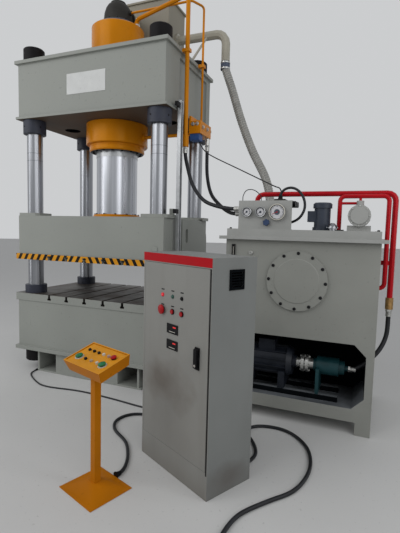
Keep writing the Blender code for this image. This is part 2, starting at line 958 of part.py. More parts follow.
# Cylinder and ram

def make_main_cylinder():
    """The cylinder hangs in the crown on its ring, bored from below, with two ports."""
    body = turned("main_cylinder", [
        (0, cylinder_top), (cylinder_radius - nut_chamfer, cylinder_top),
        (cylinder_radius, cylinder_top - nut_chamfer), (cylinder_radius, crown_bottom - SEAT),
        (cylinder_ring_radius, crown_bottom - SEAT), (cylinder_ring_radius, ring_bottom),
        (cylinder_bore_radius, ring_bottom), (cylinder_bore_radius, cylinder_bore_top),
        (0, cylinder_bore_top),
    ], slot="cylinder_yellow")
    join(body, rod(
        "cylinder_top_port", cylinder_port_radius, (pressure_port_x, 0, cylinder_top - WELD),
        (pressure_port_x, 0, cylinder_top + cylinder_port_height),
    ))
    join(body, rod(
        "cylinder_side_port", cylinder_port_radius, (cylinder_ring_radius - PORT_ROOT, 0, port_z),
        (cylinder_ring_radius + cylinder_port_height, 0, port_z),
    ))


def make_gland_ring():
    inner = ram_radius + RAM_CLEARANCE
    turned("gland_ring", [
        (gland_radius, ring_bottom - SEAT), (gland_radius, gland_bottom + nut_chamfer),
        (gland_radius - nut_chamfer, gland_bottom), (inner, gland_bottom), (inner, ring_bottom - SEAT),
    ], slot="cylinder_yellow", ring=True)


def make_ram():
    piston_radius = cylinder_bore_radius - RAM_CLEARANCE
    top = ram_bottom + ram_length
    turned("ram", [
        (0, top), (piston_radius, top), (piston_radius, top - piston_height),
        (ram_radius, top - piston_height), (ram_radius, ram_bottom + SEAT), (0, ram_bottom + SEAT),
    ], slot="chrome")
    turned("ram_flange", [
        (0, ram_bottom), (ram_flange_radius - nut_chamfer, ram_bottom),
        (ram_flange_radius, ram_bottom - nut_chamfer), (ram_flange_radius, slide_top + SEAT),
        (0, slide_top + SEAT),
    ], slot="cylinder_yellow")


# Slide

def make_slide():
    """The moving crosshead with guide flanges, side recesses, a plug and the limit striker."""
    half_x, half_y = slide_width / 2, slide_depth / 2
    slide = box("slide", (-half_x, -half_y, slide_bottom), (half_x, half_y, slide_top), slot="press_grey")
    for side, x, y in corners_of(column_x, column_y):
        join(slide, guide_flange(f"guide_flange_{side}", x, y))
    for side in (-1, 1):
        cut(slide, *side_recesses(side, half_x))
    join(slide, rod(
        "slide_plug", plug_radius, (plug_x, -half_y - plug_height, plug_z), (plug_x, -half_y + WELD, plug_z)
    ))
    outer = slide_plate_width / 2
    join(slide, box(
        "limit_striker", (outer - striker_length, -rail_front - striker_width, slide_top),
        (outer, -rail_front, slide_top + guide_flange_height + striker_height),
    ))
    column_bores(slide, slide_bottom, slide_top + guide_flange_height, GUIDE_CLEARANCE)


def guide_flange(name, x, y):
    """A plate with chamfered corners round one column."""
    wide, deep, nip = guide_flange_width / 2, guide_flange_depth / 2, guide_flange_chamfer
    corners = [
        (-wide + nip, -deep), (wide - nip, -deep), (wide, -deep + nip), (wide, deep - nip),
        (wide - nip, deep), (-wide + nip, deep), (-wide, deep - nip), (-wide, -deep + nip),
    ]
    height = guide_flange_height + WELD
    return outline_solid(name, corners, height, (x, y, slide_top - WELD + height / 2), (0, 0, 0))


def side_recesses(side, half_x):
    """The upright recess, the oval slot and the rounded rear corner in one side of the slide."""
    outer = side * (half_x + OVERRUN)
    inner = side * (half_x - slide_pocket_depth)
    low, high = min(inner, outer), max(inner, outer)
    tools = [box(
        f"side_recess_{side}", (low, -slide_pocket_front, slide_bottom - OVERRUN),
        (high, -slide_pocket_rear, slide_top + OVERRUN),
    )]
    radius = oval_slot_width / 2
    tools.append(box(
        f"oval_middle_{side}", (low, -oval_slot_y - radius, oval_slot_bottom + radius),
        (high, -oval_slot_y + radius, oval_slot_top - radius),
    ))
    for end, z in (("low", oval_slot_bottom + radius), ("high", oval_slot_top - radius)):
        tools.append(rod(
            f"oval_{end}_{side}", radius, (low, -oval_slot_y, z), (high, -oval_slot_y, z), facets=TINY_ROUND
        ))
    depth = slide_corner_cut_depth
    tools.append(outline_solid(
        f"rear_corner_{side}", rear_corner_outline(), 2 * depth,
        (side * half_x, 0, 0), (math.radians(90), 0, math.radians(90)),
    ))
    return tools


def rear_corner_outline():
    """The area behind the side plate, whose upper rear corner is a quarter round."""
    centre_y, centre_z = slide_rear_y - slide_corner_radius, slide_top - slide_corner_radius
    rear, top, bottom = slide_depth / 2 + OVERRUN, slide_top + OVERRUN, slide_bottom - OVERRUN
    steps = 6
    arc = [
        (centre_y + slide_corner_radius * math.sin(angle), centre_z + slide_corner_radius * math.cos(angle))
        for angle in (math.radians(90) * k / steps for k in range(steps + 1))
    ]
    return [(centre_y, top), *arc, (slide_rear_y, bottom), (rear, bottom), (rear, top)]


def make_slide_base_plate():
    half_x, half_y = slide_plate_width / 2, bolster_depth / 2
    plate = box(
        "slide_base_plate", (-half_x, -half_y, slide_plate_bottom), (half_x, half_y, slide_bottom - SEAT),
        slot="press_grey",
    )
    column_bores(plate, slide_plate_bottom, slide_bottom, GUIDE_CLEARANCE)
    t_slots(plate, slide_plate_bottom, slide_slot_depth, -1)


# Fill tank and pipework

def make_fill_tank():
    """The fill tank on the crown, with its flanged lid."""
    bottom, rear = crown_top + SEAT, tank_front_y + tank_depth
    top = bottom + tank_height
    tank = box("fill_tank", (-tank_left, tank_front_y, bottom), (tank_right, rear, top), slot="tank_beige")
    lip = tank_lid_lip
    join(tank, box(
        "fill_tank_lid", (-tank_left - lip, tank_front_y - lip, top - WELD),
        (tank_right + lip, rear + lip, top + tank_lid_height),
    ))


def make_prefill_valve():
    """The prefill valve on the cylinder, with ports for the suction neck and the pilot pipe."""
    bottom = cylinder_top + SEAT
    flange = bottom + prefill_flange_height
    valve = turned("prefill_valve", [
        (0, prefill_top), (prefill_radius - nut_chamfer, prefill_top),
        (prefill_radius, prefill_top - nut_chamfer), (prefill_radius, flange),
        (prefill_flange_radius, flange), (prefill_flange_radius, bottom), (0, bottom),
    ], slot="valve_dark", facets=DRUM_ROUND)
    face = prefill_face_y()
    join(valve, rod(
        "prefill_suction_port", neck_radius, (0, prefill_radius - PORT_ROOT, neck_z), (0, face, neck_z),
        facets=DRUM_ROUND,
    ))
    join(valve, rod(
        "prefill_pilot_port", pilot_pipe_radius + clamp_wrap, (prefill_radius - PORT_ROOT, 0, pilot_z),
        (prefill_radius + cylinder_port_height, 0, pilot_z),
    ))


def prefill_face_y():
    return prefill_radius + cylinder_port_height


def make_suction_neck():
    """The short flanged pipe between the prefill valve and the fill tank."""
    start, end = prefill_face_y() + SEAT, tank_front_y - SEAT
    plate = neck_flange_height
    turned("suction_neck", [
        (0, end - start), (neck_flange_radius, end - start), (neck_flange_radius, end - start - plate),
        (neck_radius, end - start - plate), (neck_radius, plate), (neck_flange_radius, plate),
        (neck_flange_radius, 0), (0, 0),
    ], (0, start, neck_z), slot="tank_beige", facets=DRUM_ROUND, direction=(0, 1, 0))


def make_fill_pipe():
    """The white pipe from the fill tank to its bend over the side, with its strut."""
    start = tank_right + SEAT
    pipe = tube("fill_pipe", bent([
        (start, fill_pipe_y, fill_pipe_z), (fill_pipe_drop_x, fill_pipe_y, fill_pipe_z),
        (fill_pipe_drop_x, fill_pipe_y, fill_pipe_end_z),
    ], fill_pipe_bend), fill_pipe_radius, slot="pipe_white", sides=3)
    join(pipe, rod(
        "fill_pipe_flange", fill_flange_radius, (start, fill_pipe_y, fill_pipe_z),
        (start + fill_flange_height, fill_pipe_y, fill_pipe_z), facets=DRUM_ROUND,
    ))
    foot = crown_top + SEAT
    half = strut_plate / 2
    join(pipe, rod(
        "fill_pipe_strut", strut_radius, (strut_foot_x, strut_foot_y, foot + strut_radius),
        (strut_head_x, fill_pipe_y, fill_pipe_z), facets=TINY_ROUND,
    ))
    join(pipe, box(
        "strut_foot", (strut_foot_x - half, strut_foot_y - half, foot),
        (strut_foot_x + half / 2, strut_foot_y + half, foot + strut_plate_height),
    ))


def edge_clamp(name, x, y, radius):
    """A clamp that holds a pipe to the edge of the crown's top plate."""
    middle = crown_top - crown_top_plate / 2
    return box(
        name, (crown_top_half + SEAT, y - clamp_width / 2, middle - clamp_height / 2),
        (x + radius + clamp_wrap, y + clamp_width / 2, middle + clamp_height / 2),
    )


def make_pressure_pipe():
    """The pipe from the top port over the crown's edge down to the hose fitting."""
    low = pressure_pipe_end_z
    start = cylinder_top + cylinder_port_height + SEAT
    pipe = tube("pressure_pipe", bent([
        (pressure_port_x, 0, start), (pressure_port_x, 0, pressure_pipe_z),
        (pressure_drop_x, -pressure_drop_y, pressure_pipe_z),
        (pressure_drop_x, -pressure_drop_y, low + WELD),
    ], pressure_pipe_bend), pressure_pipe_radius, slot="cylinder_yellow")
    join(pipe, rod(
        "pressure_fitting", pressure_fitting_radius, (pressure_drop_x, -pressure_drop_y, low),
        (pressure_drop_x, -pressure_drop_y, low + pressure_fitting_height),
    ))
    join(pipe, edge_clamp("pressure_clamp", pressure_drop_x, -pressure_drop_y, pressure_pipe_radius))


def make_port_pipe():
    """The pipe between the cylinder's lower port and the valve block."""
    start = cylinder_ring_radius + cylinder_port_height + SEAT
    rod(
        "port_pipe", port_pipe_radius, (start, 0, port_z), (valve_block_left - SEAT, 0, port_z),
        slot="cylinder_yellow",
    )


def make_pilot_pipe():
    """The thin pipe from the valve block over the crown to the prefill valve."""
    pipe = tube("pilot_pipe", bent([
        (pilot_x, pilot_y, valve_block_bottom + valve_block_height + SEAT), (pilot_x, pilot_y, pilot_z),
        (pilot_x - 2 * pilot_bend, 0, pilot_z), (prefill_face_y() + SEAT, 0, pilot_z),
    ], pilot_bend), pilot_pipe_radius, slot="cylinder_yellow")
    join(pipe, edge_clamp("pilot_clamp", pilot_x, pilot_y, pilot_pipe_radius))


def make_valve_block():
    """The valve block under the crown's edge, with its bracket and hose port."""
    left, right = valve_block_left, valve_block_left + valve_block_width
    top = valve_block_bottom + valve_block_height
    block = box(
        "valve_block", (left, -valve_block_front, valve_block_bottom), (right, valve_block_rear, top),
        slot="cylinder_yellow",
    )
    join(block, box(
        "valve_bracket",
        (crown_lip_half + SEAT, -valve_block_front + valve_bracket_inset,
         valve_block_bottom + valve_bracket_inset),
        (left + WELD, valve_block_rear - valve_bracket_inset, crown_bottom + crown_bottom_plate),
    ))
    x, y = hose_b_port()
    join(block, rod(
        "valve_hose_port", hose_port_radius, (x, y, valve_block_bottom - hose_port_length),
        (x, y, valve_block_bottom + WELD),
    ))


def hose_b_port():
    """Where hose B leaves the valve block, from above."""
    return valve_block_left + valve_block_width - hose_port_inset, valve_block_rear - hose_port_inset


def make_limit_rail():
    """The slotted rail with its two limit switches, clamped to the crown and the bed."""
    rail = box(
        "limit_rail", (rail_inner, -rail_front, plinth_height),
        (rail_inner + rail_thickness, -rail_front + rail_width, rail_top), slot="steel_bright",
    )
    middle = -rail_front + rail_width / 2
    cut(rail, box(
        "rail_groove",
        (rail_inner + rail_thickness - rail_groove_depth, middle - rail_groove_width / 2,
         plinth_height - OVERRUN),
        (rail_inner + rail_thickness + OVERRUN, middle + rail_groove_width / 2, rail_top + OVERRUN),
    ))
    low = crown_bottom + crown_bottom_plate + SEAT
    join(rail, box(
        "rail_bracket", (crown_width / 2 + SEAT, -rail_front, low),
        (rail_inner + WELD, -rail_front + rail_width, low + rail_bracket_height),
    ))
    for name, drop in (("upper", upper_switch_drop), ("lower", lower_switch_drop)):
        high = rail_top - drop
        join(rail, box(
            f"{name}_limit_switch", (rail_inner, -rail_front - switch_reach, high - switch_height),
            (rail_inner + switch_width, -rail_front + WELD, high),
        ))


# Power unit, in the frame of the tank's front left corner

def make_oil_tank(unit):
    """The oil tank with its pump bay, feet and the rails that carry the pump set."""
    tank = box("oil_tank", (0, 0, foot_height), (unit_width, unit_depth, unit_top), unit, "press_grey")
    for x in (0, unit_width - foot_width):
        for y in (0, unit_depth - foot_width):
            join(tank, box(
                f"tank_foot_{x:.2f}_{y:.2f}", (x, y, 0),
                (x + foot_width, y + foot_width, foot_height + WELD), unit,
            ))
    nip = bay_corner
    opening = [
        (bay_left + nip, bay_bottom), (bay_right - nip, bay_bottom), (bay_right, bay_bottom + nip),
        (bay_right, bay_top - nip), (bay_right - nip, bay_top), (bay_left + nip, bay_top),
        (bay_left, bay_top - nip), (bay_left, bay_bottom + nip),
    ]
    depth = bay_depth + OVERRUN
    cut(tank, outline_solid(
        "pump_bay", opening, depth, (0, bay_depth - depth / 2, 0), (math.radians(90), 0, 0), unit
    ))
    cut(tank, box(
        "wall_hole", (bay_right - bay_corner / 2, drive_y - wall_hole_width / 2, wall_hole_bottom),
        (unit_width + OVERRUN, drive_y + wall_hole_width / 2, wall_hole_bottom + wall_hole_height), unit,
    ))
    for y in bay_rail_places():
        join(tank, box(
            f"bay_rail_{y:.2f}", (bay_rail_start, y - bay_rail_width / 2, bay_bottom - WELD),
            (bay_rail_end, y + bay_rail_width / 2, bay_bottom + bay_rail_height), unit,
        ))


def bay_rail_places():
    reach = motor_radius - bay_rail_width / 2
    return drive_y - reach, drive_y + reach


def make_tank_lid(unit):
    """The lid: flange with a notch for the branch pipe, raised curb and the fill hose's socket."""
    low, step = unit_top + SEAT, unit_top + lid_flange_height
    right = unit_width + lid_lip
    lid = box("tank_lid", (-lid_lip, -lid_lip, low), (right, unit_depth + lid_lip, step), unit, "press_grey")
    room = branch_radius + branch_notch
    cut(lid, box(
        "branch_notch", (branch_x - room, branch_y - room, low - OVERRUN),
        (right + OVERRUN, branch_y + room, step + OVERRUN), unit,
    ))
    inset = lid_curb_inset
    join(lid, box(
        "lid_curb", (inset, inset, step - WELD), (unit_width - inset, unit_depth - inset, lid_top), unit
    ))
    join(lid, rod(
        "hose_socket", hose_socket_radius, (hose_socket_x, hose_socket_y, lid_top - WELD),
        (hose_socket_x, hose_socket_y, lid_top + hose_socket_height), unit, facets=DRUM_ROUND,
    ))


def make_manhole_cover(unit):
    crest = manhole_thickness + manhole_crown_height
    turned("manhole_cover", [
        (0, crest), (manhole_crown_radius, crest),
        (manhole_crown_radius + manhole_crown_height, manhole_thickness), (manhole_radius, manhole_thickness),
        (manhole_radius, 0), (0, 0),
    ], (manhole_x, -SEAT, manhole_z), unit, "press_grey", direction=(0, -1, 0))


def make_level_gauge(unit):
    wide, high = level_width / 2, level_height / 2
    gauge = box(
        "level_gauge", (level_x - wide, -level_depth, level_z - high),
        (level_x + wide, -SEAT, level_z + high), unit, "plastic_black",
    )
    cut(gauge, box(
        "level_window",
        (level_x - level_slot_width / 2, -level_depth - OVERRUN, level_z - level_slot_height / 2),
        (level_x + level_slot_width / 2, -level_depth + level_slot_depth, level_z + level_slot_height / 2),
        unit,
    ))


def make_gauge_panel(unit):
    """The folded panel with its three gauges, and the collar for the shut-off knob."""
    right, low, high = panel_left + panel_width, lid_top + SEAT, lid_top + panel_height
    panel = box(
        "gauge_panel", (panel_left, panel_y, low), (right, panel_y + panel_thickness, high), unit,
        "steel_bright",
    )
    join(panel, box(
        "panel_foot", (panel_left, panel_y, low), (right, panel_y + panel_return, low + panel_thickness), unit
    ))
    join(panel, box(
        "panel_top", (panel_left, panel_y, high - panel_thickness),
        (right, panel_y + panel_return, high), unit,
    ))
    for k, (x, radius) in enumerate(zip(gauge_x, gauge_radius)):
        join(panel, turned(f"gauge_{k}", [
            (0, gauge_depth - gauge_dial_depth), (radius - 2 * gauge_rim, gauge_depth - gauge_dial_depth),
            (radius - gauge_rim, gauge_depth), (radius, gauge_depth), (radius, -panel_thickness / 2),
            (0, -panel_thickness / 2),
        ], (x, panel_y, gauge_z), unit, facets=DRUM_ROUND, direction=(0, -1, 0)))
    cut(panel, rod(
        "knob_hole", knob_stem_radius + SHAFT_CLEARANCE, (knob_x, panel_y - OVERRUN, knob_z),
        (knob_x, panel_y + 2 * OVERRUN, knob_z), unit,
    ))


def make_shutoff_knob(unit):
    """The shut-off valve's knob, with finger grips round its edge, on its stem."""
    back = knob_stand_off
    knob = turned("shutoff_knob", [
        (0, back + knob_depth), (knob_radius - knob_grip_depth, back + knob_depth),
        (knob_radius, back + knob_depth - knob_grip_depth), (knob_radius, back), (knob_stem_radius, back),
        (knob_stem_radius, -panel_thickness), (0, -panel_thickness),
    ], (knob_x, panel_y, knob_z), unit, "knob_blue", facets=knob_facets, direction=(0, -1, 0))
    for k in range(knob_grip_count):
        angle = 2 * math.pi * (k + knob_grip_phase_share) / knob_grip_count
        x, z = knob_x + knob_radius * math.sin(angle), knob_z + knob_radius * math.cos(angle)
        cut(knob, rod(
            f"knob_grip_{k}", 2 * knob_grip_depth, (x, panel_y - back - knob_depth - OVERRUN, z),
            (x, panel_y - back / 2, z), unit, facets=TINY_ROUND,
        ))


def make_valve_manifold(unit):
    """The manifold block with its solenoid valves, hose ports and the return outlet."""
    left, front, low = manifold_left, manifold_front, lid_top + SEAT
    right, back, top = left + manifold_width, front + manifold_depth, low + manifold_height
    block = box("valve_manifold", (left, front, low), (right, back, top), unit, "steel_bright")
    for k in range(valve_count):
        start = back - valve_gap - valve_body_depth - k * (valve_body_depth + valve_gap)
        x0 = right - valve_body_width
        join(block, box(
            f"valve_body_{k}", (x0, start, top - WELD),
            (right, start + valve_body_depth, top + valve_body_height), unit,
        ))
        y, z = start + valve_body_depth / 2, top + valve_body_height / 2
        join(block, rod(
            f"solenoid_{k}", solenoid_radius, (right - WELD, y, z), (right + solenoid_length, y, z), unit
        ))
    for name, y, rise in (("a", hose_a_port_y, hose_a_port_rise), ("b", hose_b_port_y, hose_b_port_rise)):
        join(block, rod(
            f"manifold_port_{name}", hose_port_radius, (left - manifold_port_length, y, lid_top + rise),
            (left + WELD, y, lid_top + rise), unit,
        ))


def make_pump_motor(unit):
    """The pump's motor: ribbed body, end covers, nose, terminal box and feet."""
    left, right = motor_left, motor_left + motor_length
    nose = right + motor_nose_length
    end = motor_end_length
    rim = motor_radius - 2 * motor_rib_height
    motor = turned("pump_motor", [
        (0, nose - left), (motor_nose_radius, nose - left), (motor_nose_radius, right - left),
        (rim, right - left), (motor_radius, right - left - end), (rim, right - left - end),
        (rim, end), (motor_radius, end), (rim, 0), (0, 0),
    ], (left, drive_y, drive_z), unit, "motor_black", facets=DRUM_ROUND, direction=(1, 0, 0))
    crest, root = motor_radius - motor_rib_width, rim - 2 * WELD
    for k in range(motor_rib_count):
        angle = 2 * math.pi * (k + 0.5) / motor_rib_count
        rib = box(
            f"motor_rib_{k}", (left + end - WELD, -motor_rib_width / 2, root),
            (right - end + WELD, motor_rib_width / 2, crest), unit,
        )
        middle = (root + crest) / 2
        rib.location = (
            (left + right) / 2, drive_y - middle * math.sin(angle), drive_z + middle * math.cos(angle)
        )
        rib.rotation_euler = (angle, 0, 0)
        join(motor, rib)
    centre = (left + right) / 2
    join(motor, box(
        "motor_terminal_box", (centre - motor_box_width / 2, drive_y - motor_box_width / 2, drive_z),
        (centre + motor_box_width / 2, drive_y + motor_box_width / 2,
         drive_z + motor_radius + motor_box_height), unit,
    ))
    seat = bay_bottom + bay_rail_height + SEAT
    inset = end + motor_rib_width
    for k, x in enumerate((left + inset, right - inset - foot_pad_width)):
        join(motor, box(
            f"motor_foot_{k}", (x, drive_y - motor_radius, seat),
            (x + foot_pad_width, drive_y + motor_radius, drive_z - motor_radius / 2), unit,
        ))
    cut(motor, shaft_bore("motor_shaft_bore", nose, -1, unit))


def shaft_bore(name, face, side, unit):
    """A blind bore for the coupling's shaft stub in a nose face."""
    return rod(
        name, shaft_radius + SHAFT_CLEARANCE, (face - side * OVERRUN, drive_y, drive_z),
        (face + side * (shaft_stub + 2 * SHAFT_CLEARANCE), drive_y, drive_z), unit, facets=SHAFT_ROUND,
    )


def make_shaft_coupling(unit):
    """The coupling: two hubs, two discs with a gap and pins, and a shaft stub each side."""
    start = coupling_start
    length, hub = coupling_length, (coupling_length - coupling_disc_length) / 2
    middle = length / 2
    coupling = turned("shaft_coupling", [
        (0, length + shaft_stub), (shaft_radius, length + shaft_stub), (shaft_radius, length),
        (coupling_hub_radius, length), (coupling_hub_radius, length - hub), (coupling_radius, length - hub),
        (coupling_radius, middle + coupling_groove / 2), (coupling_hub_radius, middle + coupling_groove / 2),
        (coupling_hub_radius, middle - coupling_groove / 2), (coupling_radius, middle - coupling_groove / 2),
        (coupling_radius, hub), (coupling_hub_radius, hub), (coupling_hub_radius, 0), (shaft_radius, 0),
        (shaft_radius, -shaft_stub), (0, -shaft_stub),
    ], (start, drive_y, drive_z), unit, "steel_bright", facets=SHAFT_ROUND, direction=(1, 0, 0))
    ring = (coupling_radius + coupling_hub_radius) / 2
    for k in range(coupling_pin_count):
        angle = 2 * math.pi * k / coupling_pin_count
        y, z = drive_y + ring * math.cos(angle), drive_z + ring * math.sin(angle)
        join(coupling, rod(
            f"coupling_pin_{k}", coupling_pin_radius, (start + hub - coupling_groove, y, z),
            (start + length - hub + coupling_groove, y, z), unit, facets=PIN_ROUND,
        ))


def make_pump(unit):
    """The pump: nose, body, rear cover, outlet and the bracket that carries it."""
    face = pump_start
    nose, body = pump_nose_length, pump_nose_length + pump_length
    pump = turned("pump", [
        (0, body + pump_cover_length), (pump_cover_radius, body + pump_cover_length),
        (pump_cover_radius, body), (pump_radius, body), (pump_radius, nose), (pump_nose_radius, nose),
        (pump_nose_radius, 0), (0, 0),
    ], (face, drive_y, drive_z), unit, "pump_teal", facets=DRUM_ROUND, direction=(1, 0, 0))
    seat = bay_bottom + bay_rail_height + SEAT
    join(pump, box(
        "pump_bracket", (face + nose + WELD, drive_y - motor_radius, seat),
        (face + nose + WELD + pump_bracket_width, drive_y + motor_radius, drive_z), unit,
    ))
    join(pump, rod(
        "pump_outlet", pump_outlet_radius, (pump_end - WELD, drive_y, drive_z),
        (pump_end + pump_outlet_length, drive_y, drive_z), unit,
    ))
    cut(pump, shaft_bore("pump_shaft_bore", face, 1, unit))


def make_cooling_motor(unit):
    """The upright circulation motor with its base flange, cowl and terminal box."""
    low = lid_top + SEAT
    top = low + cooling_height
    inner = cooling_radius - motor_rib_height
    motor = turned("cooling_motor", [
        (0, top), (inner, top), (cooling_radius, top - motor_rib_height),
        (cooling_radius, top - cooling_cowl_height),
        (inner, top - cooling_cowl_height), (inner, low + cooling_base_height),
        (cooling_radius, low + cooling_base_height), (cooling_radius, low), (0, low),
    ], (cooling_x, cooling_y, 0), unit, "motor_black", facets=DRUM_ROUND)
    left = cooling_x - cooling_radius - cooling_box_width
    middle = (low + top) / 2
    join(motor, box(
        "cooling_terminal_box", (left, cooling_y - cooling_box_height / 2, middle - cooling_box_height / 2),
        (cooling_x - inner / 2, cooling_y + cooling_box_height / 2, middle + cooling_box_height / 2), unit,
    ))


def dome(shares, radius, low, height):
    """The outline of a domed head from its top centre down to its rim."""
    return [(radius * across, low + height * up) for across, up in shares]


def make_filler_cap(unit):
    """The domed filler and breather cap with grips round its rim, on its neck."""
    low = lid_top + SEAT
    rim = low + cap_neck_height
    cap = turned("filler_cap", [
        *dome(cap_dome_shares, cap_radius, rim, cap_height), (cap_neck_radius, rim), (cap_neck_radius, low),
        (0, low),
    ], (cap_x, cap_y, 0), unit, "chrome", facets=DRUM_ROUND)
    for k in range(cap_knurl_count):
        angle = 2 * math.pi * k / cap_knurl_count
        x, y = cap_x + cap_radius * math.cos(angle), cap_y + cap_radius * math.sin(angle)
        join(cap, rod(
            f"cap_grip_{k}", cap_knurl_radius, (x, y, rim + cap_knurl_radius),
            (x, y, rim + cap_height / 4), unit, facets=PIN_ROUND,
        ))


def make_return_filter(unit):
    """The return filter lying towards the front, with cover, base and top neck."""
    rear = filter_y + filter_length / 2
    body = turned("return_filter", [
        (0, filter_length + filter_cover_height), (filter_cover_radius, filter_length + filter_cover_height),
        (filter_cover_radius, filter_length), (filter_radius, filter_length), (filter_radius, 0), (0, 0),
    ], (filter_x, rear, filter_z), unit, "steel_bright", facets=DRUM_ROUND, direction=(0, -1, 0))
    wide, deep, low = filter_base_width / 2, filter_base_depth / 2, lid_top + SEAT
    join(body, box(
        "filter_base", (filter_x - wide, filter_y - deep, low),
        (filter_x + wide, filter_y + deep, low + filter_base_height), unit,
    ))
    join(body, rod(
        "filter_neck", filter_neck_radius, (filter_x, branch_y, filter_z + filter_radius / 2),
        (filter_x, branch_y, filter_neck_top()), unit,
    ))


def filter_neck_top():
    return filter_z + filter_radius + filter_neck_height


def make_return_header(unit):
    """The red return header from the manifold over the lid and down the tank's side, with its strap."""
    y, low = return_y, lid_top + SEAT + manifold_height + SEAT
    header = tube("return_header", bent([
        (return_left_x, y, low), (return_left_x, y, return_z), (return_right_x, y, return_z),
        (return_right_x, y, return_end_z),
    ], return_bend), return_radius, unit, "return_red")
    join(header, rod(
        "return_fitting", return_fitting_radius, (return_right_x, y, return_end_z - return_fitting_height),
        (return_right_x, y, return_end_z + WELD), unit,
    ))
    strap = unit_top - pipe_strap_drop
    join(header, box(
        "return_strap", (unit_width + SEAT, y - return_radius / 2, strap),
        (return_right_x, y + return_radius + clamp_wrap, strap + pipe_strap_height), unit,
    ))


def make_return_branch(unit):
    """The red branch from the lid past the filter to the tank's side, with its link to the filter."""
    high, end = lid_top + branch_rise, unit_top - branch_end_drop
    branch = tube("return_branch", bent([
        (branch_left_x, branch_y, lid_top + SEAT), (branch_left_x, branch_y, high),
        (branch_x, branch_y, high), (branch_x, branch_y, end), (unit_width + SEAT, branch_y, end),
    ], branch_bend), branch_radius, unit, "return_red")
    join(branch, rod(
        "filter_link", link_radius, (branch_left_x, branch_y, lid_top + link_rise),
        (filter_x - filter_neck_radius - SEAT, branch_y, lid_top + link_rise), unit, facets=TINY_ROUND,
    ))
    join(branch, rod(
        "filter_riser", link_radius, (filter_x, branch_y, filter_neck_top() + SEAT),
        (filter_x, branch_y, high), unit, facets=TINY_ROUND,
    ))


# Electrical cabinet, in the frame of its front right corner

def make_cabinet_body(cabinet):
    """The cabinet: folded body, the door's recess and rim, fan opening and cable glands."""
    body = box(
        "cabinet_body", (-cabinet_width, 0, 0), (0, cabinet_depth, cabinet_height), cabinet, "cabinet_grey"
    )
    left, right, low, high = door_opening()
    seat = door_thickness + SEAT
    cut(body, box("door_recess", (left, -OVERRUN, low), (right, seat, high), cabinet))
    rim = door_rim
    sheet = cabinet_sheet
    cut(body, box(
        "cabinet_mouth", (left + rim, 0, low + rim), (right - rim, seat + 2 * OVERRUN, high - rim), cabinet
    ))
    cut(body, box(
        "cabinet_inside", (-cabinet_width + sheet, seat + sheet, cabinet_plinth),
        (-sheet, cabinet_depth - sheet, cabinet_height - sheet), cabinet,
    ))
    half = grille_width / 2 - grille_border
    cut(body, box(
        "fan_opening", (-2 * OVERRUN, grille_y - half, grille_z - half),
        (OVERRUN, grille_y + half, grille_z + half), cabinet,
    ))
    for k, x in enumerate(gland_x):
        join(body, rod(
            f"cable_gland_{k}", cable_gland_radius, (x, cabinet_depth - WELD, cable_gland_z),
            (x, cabinet_depth + cable_gland_length, cable_gland_z), cabinet,
        ))


def door_opening():
    return (
        -cabinet_width + door_margin, -door_margin, door_bottom, cabinet_height - door_top_margin
    )


def make_cabinet_door(cabinet):
    """The folded door on its hinge line, with bezels, lamps and displays."""
    left, right, low, high = door_opening()
    hinge = empty("door_hinge", (left, 0, 0), under=cabinet)
    gap, sheet, width = door_gap, door_sheet, right - left
    door = box(
        "cabinet_door", (gap, 0, low + gap), (width - gap, door_thickness, high - gap), hinge, "cabinet_grey"
    )
    cut(door, box(
        "door_inside", (gap + sheet, sheet, low + gap + sheet),
        (width - gap - sheet, door_thickness + OVERRUN, high - gap - sheet), hinge,
    ))
    for k, x in enumerate(row_x):
        at = x - left
        join(door, rod(
            f"bezel_{k}", bezel_radius, (at, -bezel_height, button_row_z),
            (at, sheet / 2, button_row_z), hinge,
        ))
        cut(door, rod(
            f"bezel_bore_{k}", plunger_radius + plunger_clearance,
            (at, -bezel_height - OVERRUN, button_row_z), (at, sheet + OVERRUN, button_row_z), hinge,
        ))
        join(door, turned(f"lamp_{k}", [
            *dome(lamp_dome_shares, lamp_radius, 0, lamp_height), (lamp_radius, -sheet / 2), (0, -sheet / 2),
        ], (at, 0, lamp_row_z), hinge, facets=TINY_ROUND, direction=(0, -1, 0)))
    for k, drop in enumerate(display_drop):
        at, z = display_x - left, cabinet_height - drop
        join(door, box(
            f"display_{k}", (at - display_width / 2, -display_depth, z - display_height / 2),
            (at + display_width / 2, sheet / 2, z + display_height / 2), hinge,
        ))
    at = lock_x - left
    join(door, box(
        "lock_plate", (at - lock_width / 2, -lock_finger_depth, lock_z - lock_height / 2),
        (at + lock_width / 2, sheet / 2, lock_z + lock_height / 2), hinge,
    ))
    return hinge, left


